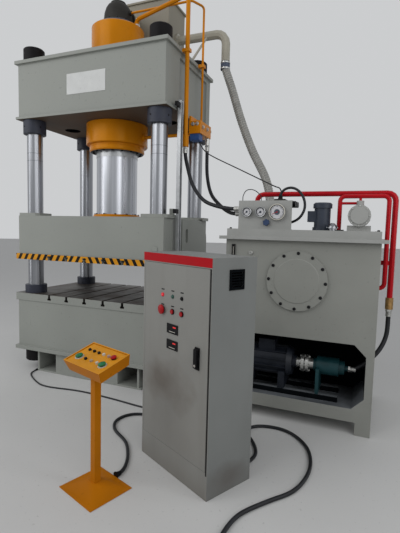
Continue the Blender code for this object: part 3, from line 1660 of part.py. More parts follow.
def make_door_fittings(hinge, left):
    """The stop button, the two push buttons and the lock handle on the door."""
    for k, name in enumerate(("emergency_stop", "cabinet_button_1", "cabinet_button_2")):
        at = row_x[k] - left
        front = bezel_height + plunger_proud
        profile = [(0, front), (plunger_radius, front), (plunger_radius, front - plunger_length),
                   (0, front - plunger_length)]
        if name == "emergency_stop":
            head = dome(button_dome_shares, mushroom_radius, front, mushroom_height)
            profile = [*head, *profile[1:]]
        turned(
            name, profile, (at, 0, button_row_z), hinge, "button_red", facets=SMALL_ROUND,
            direction=(0, -1, 0),
        )
    x = lock_x - left
    pivot_z = lock_z + lock_height / 2 - lock_lug
    pivot = empty("lock_pivot", (x, -lock_finger_depth - lock_pivot_radius - SEAT, pivot_z), under=hinge)
    wide = lock_width / 2 - lock_lug / 2
    handle = box(
        "door_lock", (-wide, -lock_depth + lock_finger_depth, -lock_height + 2 * lock_lug),
        (wide, lock_pivot_radius / 2, lock_pivot_radius / 2), pivot, "plastic_black",
    )
    join(handle, rod(
        "lock_pin", lock_pivot_radius, (-lock_width / 2, 0, 0), (lock_width / 2, 0, 0), pivot,
        facets=TINY_ROUND,
    ))


def make_fan_grille(cabinet):
    """The fan's outlet grille: a frame with slats between long openings."""
    half = grille_width / 2
    grille = box(
        "fan_grille", (SEAT, grille_y - half, grille_z - half),
        (grille_depth, grille_y + half, grille_z + half), cabinet, "plastic_black",
    )
    inner = half - grille_border
    pitch = 2 * inner / grille_slat_count
    for k in range(grille_slat_count):
        z = grille_z - inner + (k + 0.5) * pitch
        cut(grille, box(
            f"grille_gap_{k}", (-OVERRUN, grille_y - inner, z - grille_slat_gap / 2),
            (grille_depth + OVERRUN, grille_y + inner, z + grille_slat_gap / 2), cabinet,
        ))


def make_mounting_plate(cabinet):
    """The mounting plate on its studs, with cable ducts and rows of switchgear."""
    left, right = -cabinet_width + plate_margin, -plate_margin
    back = cabinet_depth - cabinet_sheet - SEAT
    face = back - plate_stand_off
    plate = box(
        "mounting_plate", (left, face, plate_bottom), (right, face + plate_thickness, plate_top), cabinet,
        "steel_bright",
    )
    for x in (left + stud_inset, right - stud_inset):
        for z in (plate_bottom + stud_inset, plate_top - stud_inset):
            join(plate, rod(
                f"stud_{x:.2f}_{z:.2f}", stud_radius, (x, face + plate_thickness / 2, z), (x, back, z),
                cabinet, facets=TINY_ROUND,
            ))
    pitch = (plate_top - plate_bottom) / gear_rows
    wide = (right - left) / gear_columns
    for row in range(gear_rows):
        duct = plate_bottom + (row + 1) * pitch - duct_height
        join(plate, box(
            f"duct_{row}", (left + duct_height / 2, face - duct_depth, duct - duct_height),
            (right - duct_height / 2, face + plate_thickness / 2, duct), cabinet,
        ))
        middle = plate_bottom + row * pitch + (pitch - 2 * duct_height) / 2
        half = wide * gear_width_share / 2
        for column in range(gear_columns):
            x = left + column * wide + wide / 2
            join(plate, box(
                f"gear_{row}_{column}", (x - half, face - gear_depth, middle - gear_row_height / 2),
                (x + half, face + plate_thickness / 2, middle + gear_row_height / 2), cabinet,
            ))


# Operator pedestal, in the frame of its base

def make_pedestal_stand(pedestal, console):
    """The base plate with its low pyramid and the square post, cut to the console's underside."""
    wide, deep = base_width / 2, base_depth / 2
    stand = box("pedestal_stand", (-wide, -deep, 0), (wide, deep, base_plate), pedestal, "pedestal_yellow")
    bm = bmesh.new()
    bmesh.ops.create_cube(bm, size=1.0)
    bmesh.ops.scale(bm, vec=(2 * (wide - base_rim), 2 * (deep - base_rim), base_rise), verts=bm.verts)
    top = [v for v in bm.verts if v.co.z > 0]
    shrink = post_width / (wide - base_rim)
    bmesh.ops.scale(bm, vec=(shrink, shrink, 1), verts=top)
    mesh = bpy.data.meshes.new("base_pyramid")
    bm.to_mesh(mesh)
    bm.free()
    pyramid = add("base_pyramid", mesh, pedestal)
    pyramid.location = (0, 0, (base_plate + base_rise) / 2)
    join(stand, pyramid)
    half = post_width / 2
    join(stand, box("post", (-half, -half, base_plate / 2), (half, half, console_z), pedestal))
    reach = console_width
    cut(stand, box(
        "post_top_cut", (-reach, -reach, -console_thickness - SEAT),
        (reach, reach, console_thickness), console,
    ))


def make_console_box(console):
    """The tapered console with its sunken deck, bezels and small selectors."""
    bm = bmesh.new()
    bmesh.ops.create_cube(bm, size=1.0)
    bmesh.ops.scale(bm, vec=(console_width, console_depth, console_thickness), verts=bm.verts)
    for v in bm.verts:
        if v.co.z < 0:
            v.co.x -= math.copysign(console_taper_x, v.co.x)
            v.co.y -= math.copysign(console_taper_y, v.co.y)
    mesh = bpy.data.meshes.new("console_box")
    bm.to_mesh(mesh)
    bm.free()
    body = add("console_box", mesh, console, "pedestal_yellow")
    body.location = (0, 0, -console_thickness / 2)
    wide, deep = console_width / 2 - deck_rim, console_depth / 2 - deck_rim
    cut(body, box("console_deck", (-wide, -deep, -deck_depth), (wide, deep, OVERRUN), console))
    for x, y in plunger_places():
        join(body, rod(
            f"console_bezel_{x:.2f}", console_bezel_radius, (x, y, -deck_depth - WELD),
            (x, y, -deck_depth + console_bezel_height), console,
        ))
        cut(body, rod(
            f"console_bore_{x:.2f}", console_plunger_radius + plunger_clearance,
            (x, y, -deck_depth - console_plunger_length - OVERRUN), (x, y, OVERRUN), console,
        ))
    for row, places in ((far_row, far_selectors), (near_row, near_selectors)):
        for x in places:
            join(body, rod(
                f"selector_{x:.3f}_{row:.3f}", selector_radius, (x, row, -deck_depth - WELD),
                (x, row, -deck_depth + selector_height), console, facets=TINY_ROUND,
            ))


def plunger_places():
    return (-palm_x, near_row), (palm_x, near_row), (stop_x, far_row)


def make_console_buttons(console):
    """Two palm buttons and the stop button, each a head on a plunger in its bezel."""
    kinds = (
        ("palm_button_left", palm_radius, "button_green"), ("palm_button_right", palm_radius, "button_green"),
        ("console_stop_button", stop_radius, "button_red"),
    )
    for (name, radius, slot), (x, y) in zip(kinds, plunger_places()):
        under = console_bezel_height + console_plunger_proud
        turned(name, [
            *dome(button_dome_shares, radius, under, palm_height), (console_plunger_radius, under),
            (console_plunger_radius, -console_plunger_length), (0, -console_plunger_length),
        ], (x, y, -deck_depth), console, slot, facets=SMALL_ROUND)


# Hoses and cables

def make_cord(name, points, radius, slot="hose_black"):
    """A hose or cable; thin ones have six sides and the others eight."""
    spacing = max(cord_step, cord_step_share * radius)
    tube(name, flowing(points, spacing), radius, slot=slot, sides=2 if radius > mains_radius else 1)


def make_hoses():
    """Hoses between the press and the power unit, each from fitting to fitting."""
    x, y, z = unit_x + hose_socket_x, unit_y + hose_socket_y, lid_top + hose_socket_height + SEAT
    make_cord("fill_hose", [
        (fill_pipe_drop_x, fill_pipe_y, fill_pipe_end_z - SEAT), (fill_pipe_drop_x, fill_pipe_y, 3.82),
        (1.3, 0.58, 3.53), (1.435, 0.55, 3.15), (1.602, 0.5, 2.769), (1.8, 0.46, 2.4), (1.88, 0.39, 2.1),
        (x, y, 1.95), (x, y, z),
    ], fill_hose_radius, "hose_clear")
    side = unit_x + manifold_left - manifold_port_length - SEAT
    y_a, y_b = unit_y + hose_a_port_y, unit_y + hose_b_port_y
    make_cord("hose_a", [
        (pressure_drop_x, -pressure_drop_y, pressure_pipe_end_z - SEAT),
        (pressure_drop_x, -pressure_drop_y, 2.61), (1.1, -0.3, 2.48), (1.18, -0.32, 2.265),
        (1.32, -0.35, 2.1), (1.495, -0.39, 2.03), (1.68, y_a, 2.0),
        (side, y_a, lid_top + hose_a_port_rise),
    ], hose_radius)
    x, y = hose_b_port()
    make_cord("hose_b", [
        (x, y, valve_block_bottom - hose_port_length - SEAT), (x, y, 2.7), (1.18, 0.1, 2.43),
        (1.29, -0.05, 2.2),
        (1.45, -0.2, 2.06), (1.6, -0.32, 1.975), (1.69, y_b, 1.955), (side, y_b, lid_top + hose_b_port_rise),
    ], hose_radius)
    x, y, z = cable_seat(1)
    make_cord("valve_cable", [
        (1.09, 0.02, valve_block_bottom - SEAT), (1.09, 0.02, 2.82), (1.14, 0.02, 2.73), (1.25, 0.0, 2.635),
        (1.65, -0.04, 2.44), (2.04, -0.24, 2.25), (2.14, -0.37, 2.205), (x, y, 2.13), (x, y, z),
    ], valve_cable_radius)
    x, y, z = cable_seat(2)
    face, low = unit_x + manifold_left + manifold_width + SEAT, 1.87
    make_cord("solenoid_cable", [
        (x, y, z), (x, y, 2.13), (2.21, -0.5, 2.18), (2.28, -0.505, 2.195), (2.35, -0.51, 2.16),
        (2.4, -0.515, 2.08), (2.405, -0.52, 1.99), (2.36, -0.52, 1.91), (2.28, y, low), (face, y, low),
    ], solenoid_cable_radius)
    x, y, z = pump_outlet()
    make_cord("pump_hose", [
        (unit_x + return_right_x, unit_y + return_y, return_end_z - return_fitting_height - SEAT),
        (unit_x + return_right_x, unit_y + return_y, 1.02), (3.172, -0.37, 0.86), (3.125, -0.41, 0.735),
        (3.044, -0.445, 0.63), (2.97, y, 0.56), (2.9029, y, z), (x, y, z),
    ], hose_radius)


def pump_outlet():
    """The end of the pump's outlet, in the frame of the whole part."""
    return unit_x + pump_end + pump_outlet_length + SEAT, unit_y + drive_y, drive_z


def cable_seat(k):
    """The top of a solenoid valve, counted from the back, where a cable ends."""
    x = unit_x + manifold_left + manifold_width - valve_body_width / 2
    back = manifold_front + manifold_depth - (k + 1) * valve_gap - k * valve_body_depth
    y = unit_y + back - valve_body_depth / 2
    return x, y, lid_top + 2 * SEAT + manifold_height + valve_body_height


def on_floor_plan(place, turn, x, y, z):
    """A point of a turned frame that stands on the floor, in the frame of the whole part."""
    c, s = math.cos(turn), math.sin(turn)
    return place[0] + c * x - s * y, place[1] + s * x + c * y, z


def at_gland(k, away=0):
    """A point straight out from one of the cabinet's cable glands."""
    face = cabinet_depth + cable_gland_length + SEAT
    return on_floor_plan((cabinet_x, cabinet_y), cabinet_turn, gland_x[k], face + away, cable_gland_z)


def make_floor_cables():
    """Cables on the floor, from their glands, and the coil of the supply cable."""
    thin, middle, thick = press_cable_radius, pedestal_cable_radius, mains_radius
    stand = [
        on_floor_plan((pedestal_x, pedestal_y), pedestal_turn, 0, base_depth / 2 + away, middle)
        for away in (SEAT, floor_lead)
    ]
    make_cord("pedestal_cable", [
        *stand, (1.378, -1.9, middle), (1.3, -1.76, middle), (1.192, -1.632, middle), (1.0, -1.5, middle),
        (0.92, -1.35, middle), (0.97, -1.2, middle), (1.12, -1.13, middle), (1.35, -1.11, middle),
        (1.6, -1.15, middle),
        (1.76, -1.26, middle), at_gland(2, floor_lead), at_gland(2),
    ], middle)
    front = -plinth_depth / 2 - WELD - SEAT
    make_cord("press_cable", [
        (-0.73, front, thin), (-0.73, -0.66, thin), (-0.7, -0.76, thin), (-0.5, -0.9, thin),
        (-0.257, -0.995, thin),
        (0.178, -0.942, thin), (0.6, -0.96, thin), (1.0, -1.0, thin), (1.4, -1.0, thin), (1.72, -1.06, thin),
        (1.88, -1.2, thin), (1.9, -1.3, thin), at_gland(1, floor_lead), at_gland(1),
    ], thin)
    ring, low = coil_mid_radius, SEAT
    beside = coil_x + ring + 3 * thick + SEAT
    make_cord("mains_cable", [
        at_gland(0), at_gland(0, floor_lead), (2.24, -1.38, thick), (2.17, -1.2, thick), (2.07, -1.06, thick),
        (2.1, -0.93, thick), (2.25, -0.87, thick), (2.427, -0.904, thick), (2.6, -1.1, thick),
        (2.66, -1.4, thick),
        (2.6, -1.7, thick), (2.45, -1.9, thick), (2.314, -2.1, thick), (2.276, -2.3, thick),
        (beside, -2.45, thick), (beside, coil_y, thick),
    ], thick)
    turned("mains_coil", [
        (ring + 2 * thick, 4 * thick), (ring + 2 * thick, low), (ring - 2 * thick, low),
        (ring - 2 * thick, 4 * thick),
    ], (coil_x, coil_y, 0), slot="hose_black", facets=DRUM_ROUND, ring=True)


def build():
    make_bed()
    make_bolster_plate()
    make_columns()
    make_crown()
    make_main_cylinder()
    make_gland_ring()
    make_ram()
    make_slide()
    make_slide_base_plate()
    make_fill_tank()
    make_prefill_valve()
    make_suction_neck()
    make_fill_pipe()
    make_pressure_pipe()
    make_port_pipe()
    make_pilot_pipe()
    make_valve_block()
    make_limit_rail()

    unit = empty("power_unit", (unit_x, unit_y, 0))
    for make in (
        make_oil_tank, make_tank_lid, make_manhole_cover, make_level_gauge, make_gauge_panel,
        make_shutoff_knob,
        make_valve_manifold, make_pump_motor, make_shaft_coupling, make_pump, make_cooling_motor,
        make_filler_cap, make_return_filter, make_return_header, make_return_branch,
    ):
        make(unit)

    cabinet = empty("cabinet", (cabinet_x, cabinet_y, 0), (0, 0, cabinet_turn))
    make_cabinet_body(cabinet)
    hinge, left = make_cabinet_door(cabinet)
    make_door_fittings(hinge, left)
    make_fan_grille(cabinet)
    make_mounting_plate(cabinet)

    pedestal = empty("pedestal", (pedestal_x, pedestal_y, 0), (0, 0, pedestal_turn))
    console = empty("console", (0, 0, console_z), (console_tilt, 0, 0), pedestal)
    make_pedestal_stand(pedestal, console)
    make_console_box(console)
    make_console_buttons(console)

    make_hoses()
    make_floor_cables()


build()
bpy.context.view_layer.update()
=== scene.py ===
"""The looks of the four-column hydraulic press: finishes, hoses, cables and small fittings.

Lengths are metres in the model's own frame: the origin on the floor under the ram's axis, the
press wide along X with its front facing -Y, +Z up. Colours are linear values.
"""
import math

import bmesh
import bpy
from mathutils import Matrix, Vector


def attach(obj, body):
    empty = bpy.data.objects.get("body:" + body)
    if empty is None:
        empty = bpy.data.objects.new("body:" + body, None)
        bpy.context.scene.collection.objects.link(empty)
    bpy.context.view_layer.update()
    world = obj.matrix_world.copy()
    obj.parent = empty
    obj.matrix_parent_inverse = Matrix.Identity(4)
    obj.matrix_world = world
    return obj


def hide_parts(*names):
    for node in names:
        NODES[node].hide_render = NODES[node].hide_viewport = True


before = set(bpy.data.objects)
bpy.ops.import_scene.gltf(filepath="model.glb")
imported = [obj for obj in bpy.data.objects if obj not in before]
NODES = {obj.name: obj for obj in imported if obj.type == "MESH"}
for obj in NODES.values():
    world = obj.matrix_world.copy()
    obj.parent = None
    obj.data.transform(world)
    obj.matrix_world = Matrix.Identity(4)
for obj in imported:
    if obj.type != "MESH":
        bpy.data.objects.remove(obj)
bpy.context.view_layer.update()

# Camera, from the photograph's own frame
PHOTO_HEIGHT = 533
FOCAL_PIXELS = 405.47
SENSOR = 36.0
EYE = Vector((2.9564, -4.4052, 1.7647))
PITCH, YAW, ROLL = (math.radians(a) for a in (4.96, 22.187, 1.4605))

# Places on the press, as in the part's own sizes
RAM_RADIUS = 0.25
PISTON_RADIUS = 0.2615
PISTON_HEIGHT = 0.12
COLUMN_RADIUS = 0.09
COLUMN_X, COLUMN_Y = 0.857, 0.493
CYLINDER_RADIUS = 0.316
CYLINDER_TOP = 4.18
NUT_CHAMFER = 0.012
GLAND_BORE = 0.2505
CYLINDER_BORE = 0.262
CYLINDER_HEAD = 0.13
CROWN_LOW = 3.0397
SCRIBES = (2.654, 2.567)

# Power unit, cabinet and pedestal: each one's own origin and turn
UNIT = Vector((1.707, -0.684, 0))
CABINET = Vector((2.0814, -2.051, 0))
CABINET_TURN = math.radians(-27.52)
PEDESTAL = Vector((1.338, -2.225, 0))
PEDESTAL_TURN = math.radians(-19.0)


# Frames

def cabinet_point(x, y, z):
    """A point of the cabinet's own frame: x along its front, y to its back."""
    return CABINET + Matrix.Rotation(CABINET_TURN, 3, "Z") @ Vector((x, y, z))


def cabinet_axis(x, y, z):
    return Matrix.Rotation(CABINET_TURN, 3, "Z") @ Vector((x, y, z))


def cabinet_local(place):
    return Matrix.Rotation(-CABINET_TURN, 3, "Z") @ (Vector(place) - CABINET)


def pedestal_point(x, y, z):
    return PEDESTAL + Matrix.Rotation(PEDESTAL_TURN, 3, "Z") @ Vector((x, y, z))


# Finishes

def new_finish(name, colour, roughness, metallic=0.0):
    """A Principled material, its node tree, its shader and its coordinates in metres."""
    material = bpy.data.materials.new(name)
    material.use_nodes = True
    tree = material.node_tree
    shader = tree.nodes["Principled BSDF"]
    shader.inputs["Base Color"].default_value = (*colour, 1)
    shader.inputs["Roughness"].default_value = roughness
    shader.inputs["Metallic"].default_value = metallic
    place = tree.nodes.new("ShaderNodeTexCoord").outputs["Object"]
    return material, tree, shader, place


def stretched(tree, place, scale):
    """Coordinates scaled along each axis, which draws a texture out where the scale is small."""
    mapping = tree.nodes.new("ShaderNodeMapping")
    mapping.inputs["Scale"].default_value = scale
    tree.links.new(place, mapping.inputs["Vector"])
    return mapping.outputs["Vector"]


def noise(tree, place, scale, detail=3.0):
    texture = tree.nodes.new("ShaderNodeTexNoise")
    texture.inputs["Scale"].default_value = scale
    texture.inputs["Detail"].default_value = detail
    tree.links.new(place, texture.inputs["Vector"])
    return texture.outputs["Fac"]


def mapped(tree, value, low, high, out_low=0.0, out_high=1.0):
    """A value moved from one range to another and held inside it."""
    remap = tree.nodes.new("ShaderNodeMapRange")
    for key, number in (
        ("From Min", low), ("From Max", high), ("To Min", out_low), ("To Max", out_high)
    ):
        remap.inputs[key].default_value = number
    tree.links.new(value, remap.inputs["Value"])
    return remap.outputs["Result"]


def blended(tree, share, first, second):
    """One colour or the other by a share; each is a colour or a socket."""
    mix = tree.nodes.new("ShaderNodeMix")
    mix.data_type = "RGBA"
    tree.links.new(share, mix.inputs["Factor"])
    for key, colour in ((6, first), (7, second)):
        if isinstance(colour, bpy.types.NodeSocket):
            tree.links.new(colour, mix.inputs[key])
        else:
            mix.inputs[key].default_value = (*colour, 1)
    return mix.outputs[2]


def maths(tree, operation, first, second=0.0):
    step = tree.nodes.new("ShaderNodeMath")
    step.operation = operation
    for key, value in ((0, first), (1, second)):
        if isinstance(value, bpy.types.NodeSocket):
            tree.links.new(value, step.inputs[key])
        else:
            step.inputs[key].default_value = value
    return step.outputs[0]


def roughen(tree, shader, height, strength, distance=0.001):
    bump = tree.nodes.new("ShaderNodeBump")
    bump.inputs["Strength"].default_value = strength
    bump.inputs["Distance"].default_value = distance
    tree.links.new(height, bump.inputs["Height"])
    tree.links.new(bump.outputs["Normal"], shader.inputs["Normal"])


def surface(tree, shader, tone, gloss):
    """Feed the shader its colour and its roughness."""
    tree.links.new(tone, shader.inputs["Base Color"])
    tree.links.new(gloss, shader.inputs["Roughness"])


def shades(colour, spread):
    """A darker and a lighter shade of a colour."""
    return [c * (1 - spread) for c in colour], [min(1.0, c * (1 + spread)) for c in colour]


def drifting(tree, cloud, colour, spread, low=0.3, high=0.7):
    """A colour that drifts with a noise between its darker and its lighter shade."""
    return blended(tree, mapped(tree, cloud, low, high), *shades(colour, spread))


def coated(name, colour, roughness, metallic=0.0, drift=0.1, scale=2.5, grain=0.12, fine=220.0,
           shine=0.3, tint=(1, 1, 1)):
    """Paint, plastic or plain metal: its tone drifts, its gloss varies and it has a fine grain."""
    material, tree, shader, place = new_finish(name, colour, roughness, metallic)
    cloud = noise(tree, place, scale, 5.0)
    tone = drifting(tree, cloud, colour, drift)
    specks = mapped(tree, noise(tree, place, fine / 6, 2.0), 0.66, 0.74, 0.0, 0.35)
    tone = blended(tree, specks, tone, [c * 0.6 for c in colour])
    gloss = mapped(tree, cloud, 0.3, 0.7, roughness * 0.85, min(1.0, roughness * 1.2))
    surface(tree, shader, tone, gloss)
    shader.inputs["Specular IOR Level"].default_value = shine
    shader.inputs["Specular Tint"].default_value = (*tint, 1)
    roughen(tree, shader, noise(tree, place, fine, 2.0), grain)
    return material


def chromed(name, across, light, dark):
    """Hard chrome on a ground rod: soft streaks of tone run along it as painted reflections, and streaks of
    gloss with them.
    """
    material, tree, shader, place = new_finish(name, (light,) * 3, 0.25, 1.0)
    # Painted reflections: streaks of lighter and darker tone round the rod, the same all along it.
    reflection_bands = noise(tree, stretched(tree, place, (across, across, 0)), 1.0, 4.0)
    dark, light = ((v, v * 1.03, v * 1.1) for v in (dark, light))
    tone = blended(tree, mapped(tree, reflection_bands, 0.35, 0.65), dark, light)
    surface(tree, shader, tone, mapped(tree, reflection_bands, 0.35, 0.65, 0.32, 0.27))
    return material


def machined(name, colour, roughness):
    """Milled or ground steel with tool marks drawn out along Y, and oily patches."""
    material, tree, shader, place = new_finish(name, colour, roughness, 0.75)
    marks = noise(tree, stretched(tree, place, (60, 2.5, 60)), 1.0, 3.0)
    stains = noise(tree, place, 3.5, 6.0)
    tone = drifting(tree, marks, colour, 0.35)
    rust = [c * share for c, share in zip(colour, (0.75, 0.55, 0.42))]
    tone = blended(tree, mapped(tree, stains, 0.5, 0.72, 0.0, 0.8), tone, rust)
    surface(tree, shader, tone, mapped(tree, stains, 0.3, 0.7, roughness, roughness * 1.5))
    roughen(tree, shader, marks, 0.25)
    return material


def hazard_striped(name, pitch, lean):
    """Black and orange stripes that lean to the middle from both ends, a little worn."""
    material, tree, shader, place = new_finish(name, (0.02, 0.02, 0.02), 0.4)
    shader.inputs["Specular IOR Level"].default_value = 0.08
    split = tree.nodes.new("ShaderNodeSeparateXYZ")
    tree.links.new(place, split.inputs["Vector"])
    rise = maths(tree, "MULTIPLY", split.outputs["Z"], lean)
    run = maths(tree, "ADD", maths(tree, "ABSOLUTE", split.outputs["X"]), rise)
    ragged = maths(tree, "MULTIPLY", noise(tree, place, 40.0, 4.0), 0.003)
    turn = maths(tree, "FRACT", maths(tree, "DIVIDE", maths(tree, "ADD", run, ragged), pitch))
    stripe = mapped(tree, maths(tree, "ABSOLUTE", maths(tree, "SUBTRACT", turn, 0.5)), 0.265, 0.28)
    dust = noise(tree, place, 9.0, 5.0)
    black = blended(tree, mapped(tree, dust, 0.45, 0.75, 0.0, 0.3), (0.008,) * 3, (0.04, 0.037, 0.034))
    orange = blended(tree, mapped(tree, dust, 0.3, 0.7), (0.58, 0.24, 0.012), (0.74, 0.34, 0.025))
    tree.links.new(blended(tree, stripe, orange, black), shader.inputs["Base Color"])
    roughen(tree, shader, noise(tree, place, 150.0), 0.1)
    return material


def clear_plastic(name, colour, clearness):
    """Soft see-through plastic, cloudy in patches."""
    material, tree, shader, place = new_finish(name, colour, 0.22)
    tone = drifting(tree, noise(tree, place, 9.0, 4.0), colour, 0.12, 0.35, 0.65)
    tree.links.new(tone, shader.inputs["Base Color"])
    shader.inputs["Transmission Weight"].default_value = clearness
    shader.inputs["IOR"].default_value = 1.4
    roughen(tree, shader, noise(tree, place, 60.0), 0.15)
    return material


def stained_paint(name, colour, centre, reach, stain):
    """Cabinet paint with a dirty smear round one place, runs below it, and darker towards the floor."""
    roughness = 0.5
    material, tree, shader, place = new_finish(name, colour, roughness)
    cloud = noise(tree, place, 2.2, 5.0)
    tone = drifting(tree, cloud, colour, 0.07)
    offset = tree.nodes.new("ShaderNodeVectorMath")
    offset.operation = "SUBTRACT"
    offset.inputs[1].default_value = centre
    tree.links.new(place, offset.inputs[0])
    near = tree.nodes.new("ShaderNodeVectorMath")
    near.operation = "LENGTH"
    tree.links.new(stretched(tree, offset.outputs["Vector"], [1 / r for r in reach]), near.inputs[0])
    ragged = mapped(tree, noise(tree, place, 5.0, 6.0), 0.2, 0.8, -0.5, 0.5)
    smear = mapped(tree, maths(tree, "ADD", near.outputs["Value"], ragged), 1.15, 0.1, 0.0, 0.75)
    runs = noise(tree, stretched(tree, place, (9, 9, 0.5)), 1.0, 2.0)
    split = tree.nodes.new("ShaderNodeSeparateXYZ")
    tree.links.new(place, split.inputs["Vector"])
    darker_low = mapped(tree, split.outputs["Z"], 0.16, 0.0, 0.0, 0.4)
    for dirt in (smear, mapped(tree, runs, 0.5, 0.75, 0.0, 0.12), darker_low):
        tone = blended(tree, dirt, tone, stain)
    surface(tree, shader, tone, mapped(tree, cloud, 0.3, 0.7, roughness * 0.9, roughness * 1.2))
    roughen(tree, shader, noise(tree, place, 240.0), 0.1)
    return material


def glowing(name, colour, strength):
    """A lit lamp lens or display segment."""
    material, tree, shader, place = new_finish(name, colour, 0.3)
    dark, light = shades(colour, 0.15)
    tone = blended(tree, noise(tree, place, 160.0), dark, light)
    tree.links.new(tone, shader.inputs["Base Color"])
    shader.inputs["Emission Color"].default_value = (*colour, 1)
    shader.inputs["Emission Strength"].default_value = strength
    return material


ORANGE_SHINE = (1, 0.62, 0.2)
PRESS_PAINT = coated("press_paint", (0.285, 0.297, 0.272), 0.45, drift=0.06, scale=1.3, grain=0.08)
# Painted shade: a dark brown for the crown's downward faces, which get no light from below.
CROWN_UNDERSIDE_SHADE = coated("crown_underside_shade", (0.1, 0.07, 0.05), 0.6, drift=0.2, scale=3.0, shine=0.2)
TANK_PAINT = coated("tank_paint", (0.268, 0.273, 0.25), 0.45, drift=0.08, scale=1.6, grain=0.08)
PANEL_PAINT = coated("panel_paint", (0.35, 0.355, 0.34), 0.45, drift=0.06, scale=3.0, grain=0.08)
BEIGE_PAINT = coated("beige_paint", (0.285, 0.262, 0.207), 0.5, drift=0.12, scale=1.5)
WHITE_PAINT = coated("white_paint", (0.42, 0.4, 0.33), 0.45, scale=5.0)
YELLOW_PAINT = coated(
    "yellow_paint", (0.63, 0.22, 0.006), 0.25, drift=0.12, scale=2.2, grain=0.1, tint=ORANGE_SHINE)
# Painted light: a lighter orange for the console's upward faces.
DECK_LIT_PAINT = coated("deck_lit_paint", (0.68, 0.29, 0.02), 0.42, scale=9.0, shine=0.15, tint=ORANGE_SHINE)
PEDESTAL_PAINT = coated(
    "pedestal_paint", (0.47, 0.155, 0.004), 0.42, scale=4.0, shine=0.12, tint=ORANGE_SHINE)
NUT_PAINT = coated(
    "nut_paint", (0.009, 0.008, 0.009), 0.55, drift=0.5, scale=9.0, grain=0.5, fine=90.0, shine=0.12)
COLLAR_PAINT = coated("collar_paint", (0.03, 0.034, 0.05), 0.45, drift=0.3, scale=9.0, grain=0.3)
CAST_DARK = coated(
    "cast_dark", (0.024, 0.022, 0.019), 0.55, drift=0.4, scale=7.0, grain=0.6, fine=120.0, shine=0.25)
FLANGE_PAINT = coated("flange_paint", (0.07, 0.085, 0.11), 0.45, drift=0.2, scale=8.0, grain=0.3)
BARE_STEEL = coated("bare_steel", (0.42, 0.43, 0.44), 0.34, 0.85, drift=0.15, scale=14.0, grain=0.15)
ZINC = coated("zinc", (0.55, 0.55, 0.53), 0.35, 0.9, drift=0.2, scale=40.0, grain=0.1)
BRASS = coated("brass", (0.42, 0.25, 0.1), 0.35, 0.85, drift=0.2, scale=40.0)
# Black steel for screw heads, and painted shade on the gland's downward step.
BLACK_STEEL_AND_SHADE = coated("black_steel_and_shade", (0.015, 0.015, 0.017), 0.4, 0.3, drift=0.3, scale=50.0, shine=0.2)
FAN_MOTOR_PAINT = coated("fan_motor_paint", (0.034, 0.042, 0.06), 0.42, drift=0.3, scale=7.0, grain=0.25)
MOTOR_PAINT = coated("motor_paint", (0.012, 0.015, 0.022), 0.45, drift=0.35, scale=7.0, grain=0.25)
# Painted shade: near black for the inside of the pump bay, the crown's hand holes and the fan grille's
# slats, and a darkened tank grey for the bay's floor.
SHADE_BLACK = coated("shade_black", (0.004, 0.005, 0.006), 0.8, drift=0.4, scale=5.0, shine=0.02)
BAY_FLOOR_SHADE = coated("bay_floor_shade", (0.12, 0.13, 0.14), 0.5, drift=0.35, scale=5.0)
TEAL_PAINT = coated("teal_paint", (0.008, 0.045, 0.052), 0.4, drift=0.25, scale=8.0)
RED_PAINT = coated("red_paint", (0.42, 0.008, 0.014), 0.3, drift=0.12, scale=6.0, tint=(1, 0.3, 0.3))
RED_BAND = coated(
    "red_band", (0.42, 0.006, 0.012), 0.45, drift=0.08, scale=4.0, shine=0.15, tint=(1, 0.3, 0.3))
BLUE_PLASTIC = coated("blue_plastic", (0.035, 0.06, 0.13), 0.35, drift=0.15, scale=30.0)
VALVE_BLUE = coated("valve_blue", (0.03, 0.08, 0.24), 0.4, drift=0.2, scale=30.0)
# Black plastic for many small parts, and painted shade in the gap at the door's edge.
BLACK_PLASTIC_AND_SHADE = coated("black_plastic_and_shade", (0.008, 0.008, 0.009), 0.4, drift=0.3, scale=30.0, shine=0.1)
RED_PLASTIC = coated("red_plastic", (0.36, 0.008, 0.012), 0.3, drift=0.12, scale=40.0, tint=(1, 0.4, 0.4))
GREEN_PLASTIC = coated("green_plastic", (0.012, 0.16, 0.06), 0.3, drift=0.15, scale=40.0)
WHITE_PLASTIC = coated("white_plastic", (0.56, 0.54, 0.48), 0.35, drift=0.08, scale=40.0)
BEIGE_PLASTIC = coated("beige_plastic", (0.4, 0.3, 0.2), 0.35, drift=0.08, scale=40.0)
CLEAR_PLASTIC = clear_plastic("clear_lens", (0.62, 0.45, 0.42), 0.4)
RUBBER = coated("rubber", (0.014, 0.015, 0.018), 0.48, drift=0.35, scale=12.0, grain=0.3, fine=160.0)
HOSE_PLASTIC = clear_plastic("hose_plastic", (0.38, 0.38, 0.36), 0.3)
CABINET_DOOR_PAINT = stained_paint(
    "cabinet_door_paint", (0.245, 0.245, 0.228), cabinet_point(-0.5, 0.0, 0.66), (0.3, 0.3, 0.17),
    (0.13, 0.11, 0.09),
)
# Painted shade: the cabinet body's faces other than its front take a darker copy of the door's grey.
CABINET_SIDE_SHADED = stained_paint(
    "cabinet_side_shaded", (0.195, 0.204, 0.197), cabinet_point(0.0, 0.2, 0.1), (0.1, 0.3, 0.1),
    (0.12, 0.11, 0.1),
)
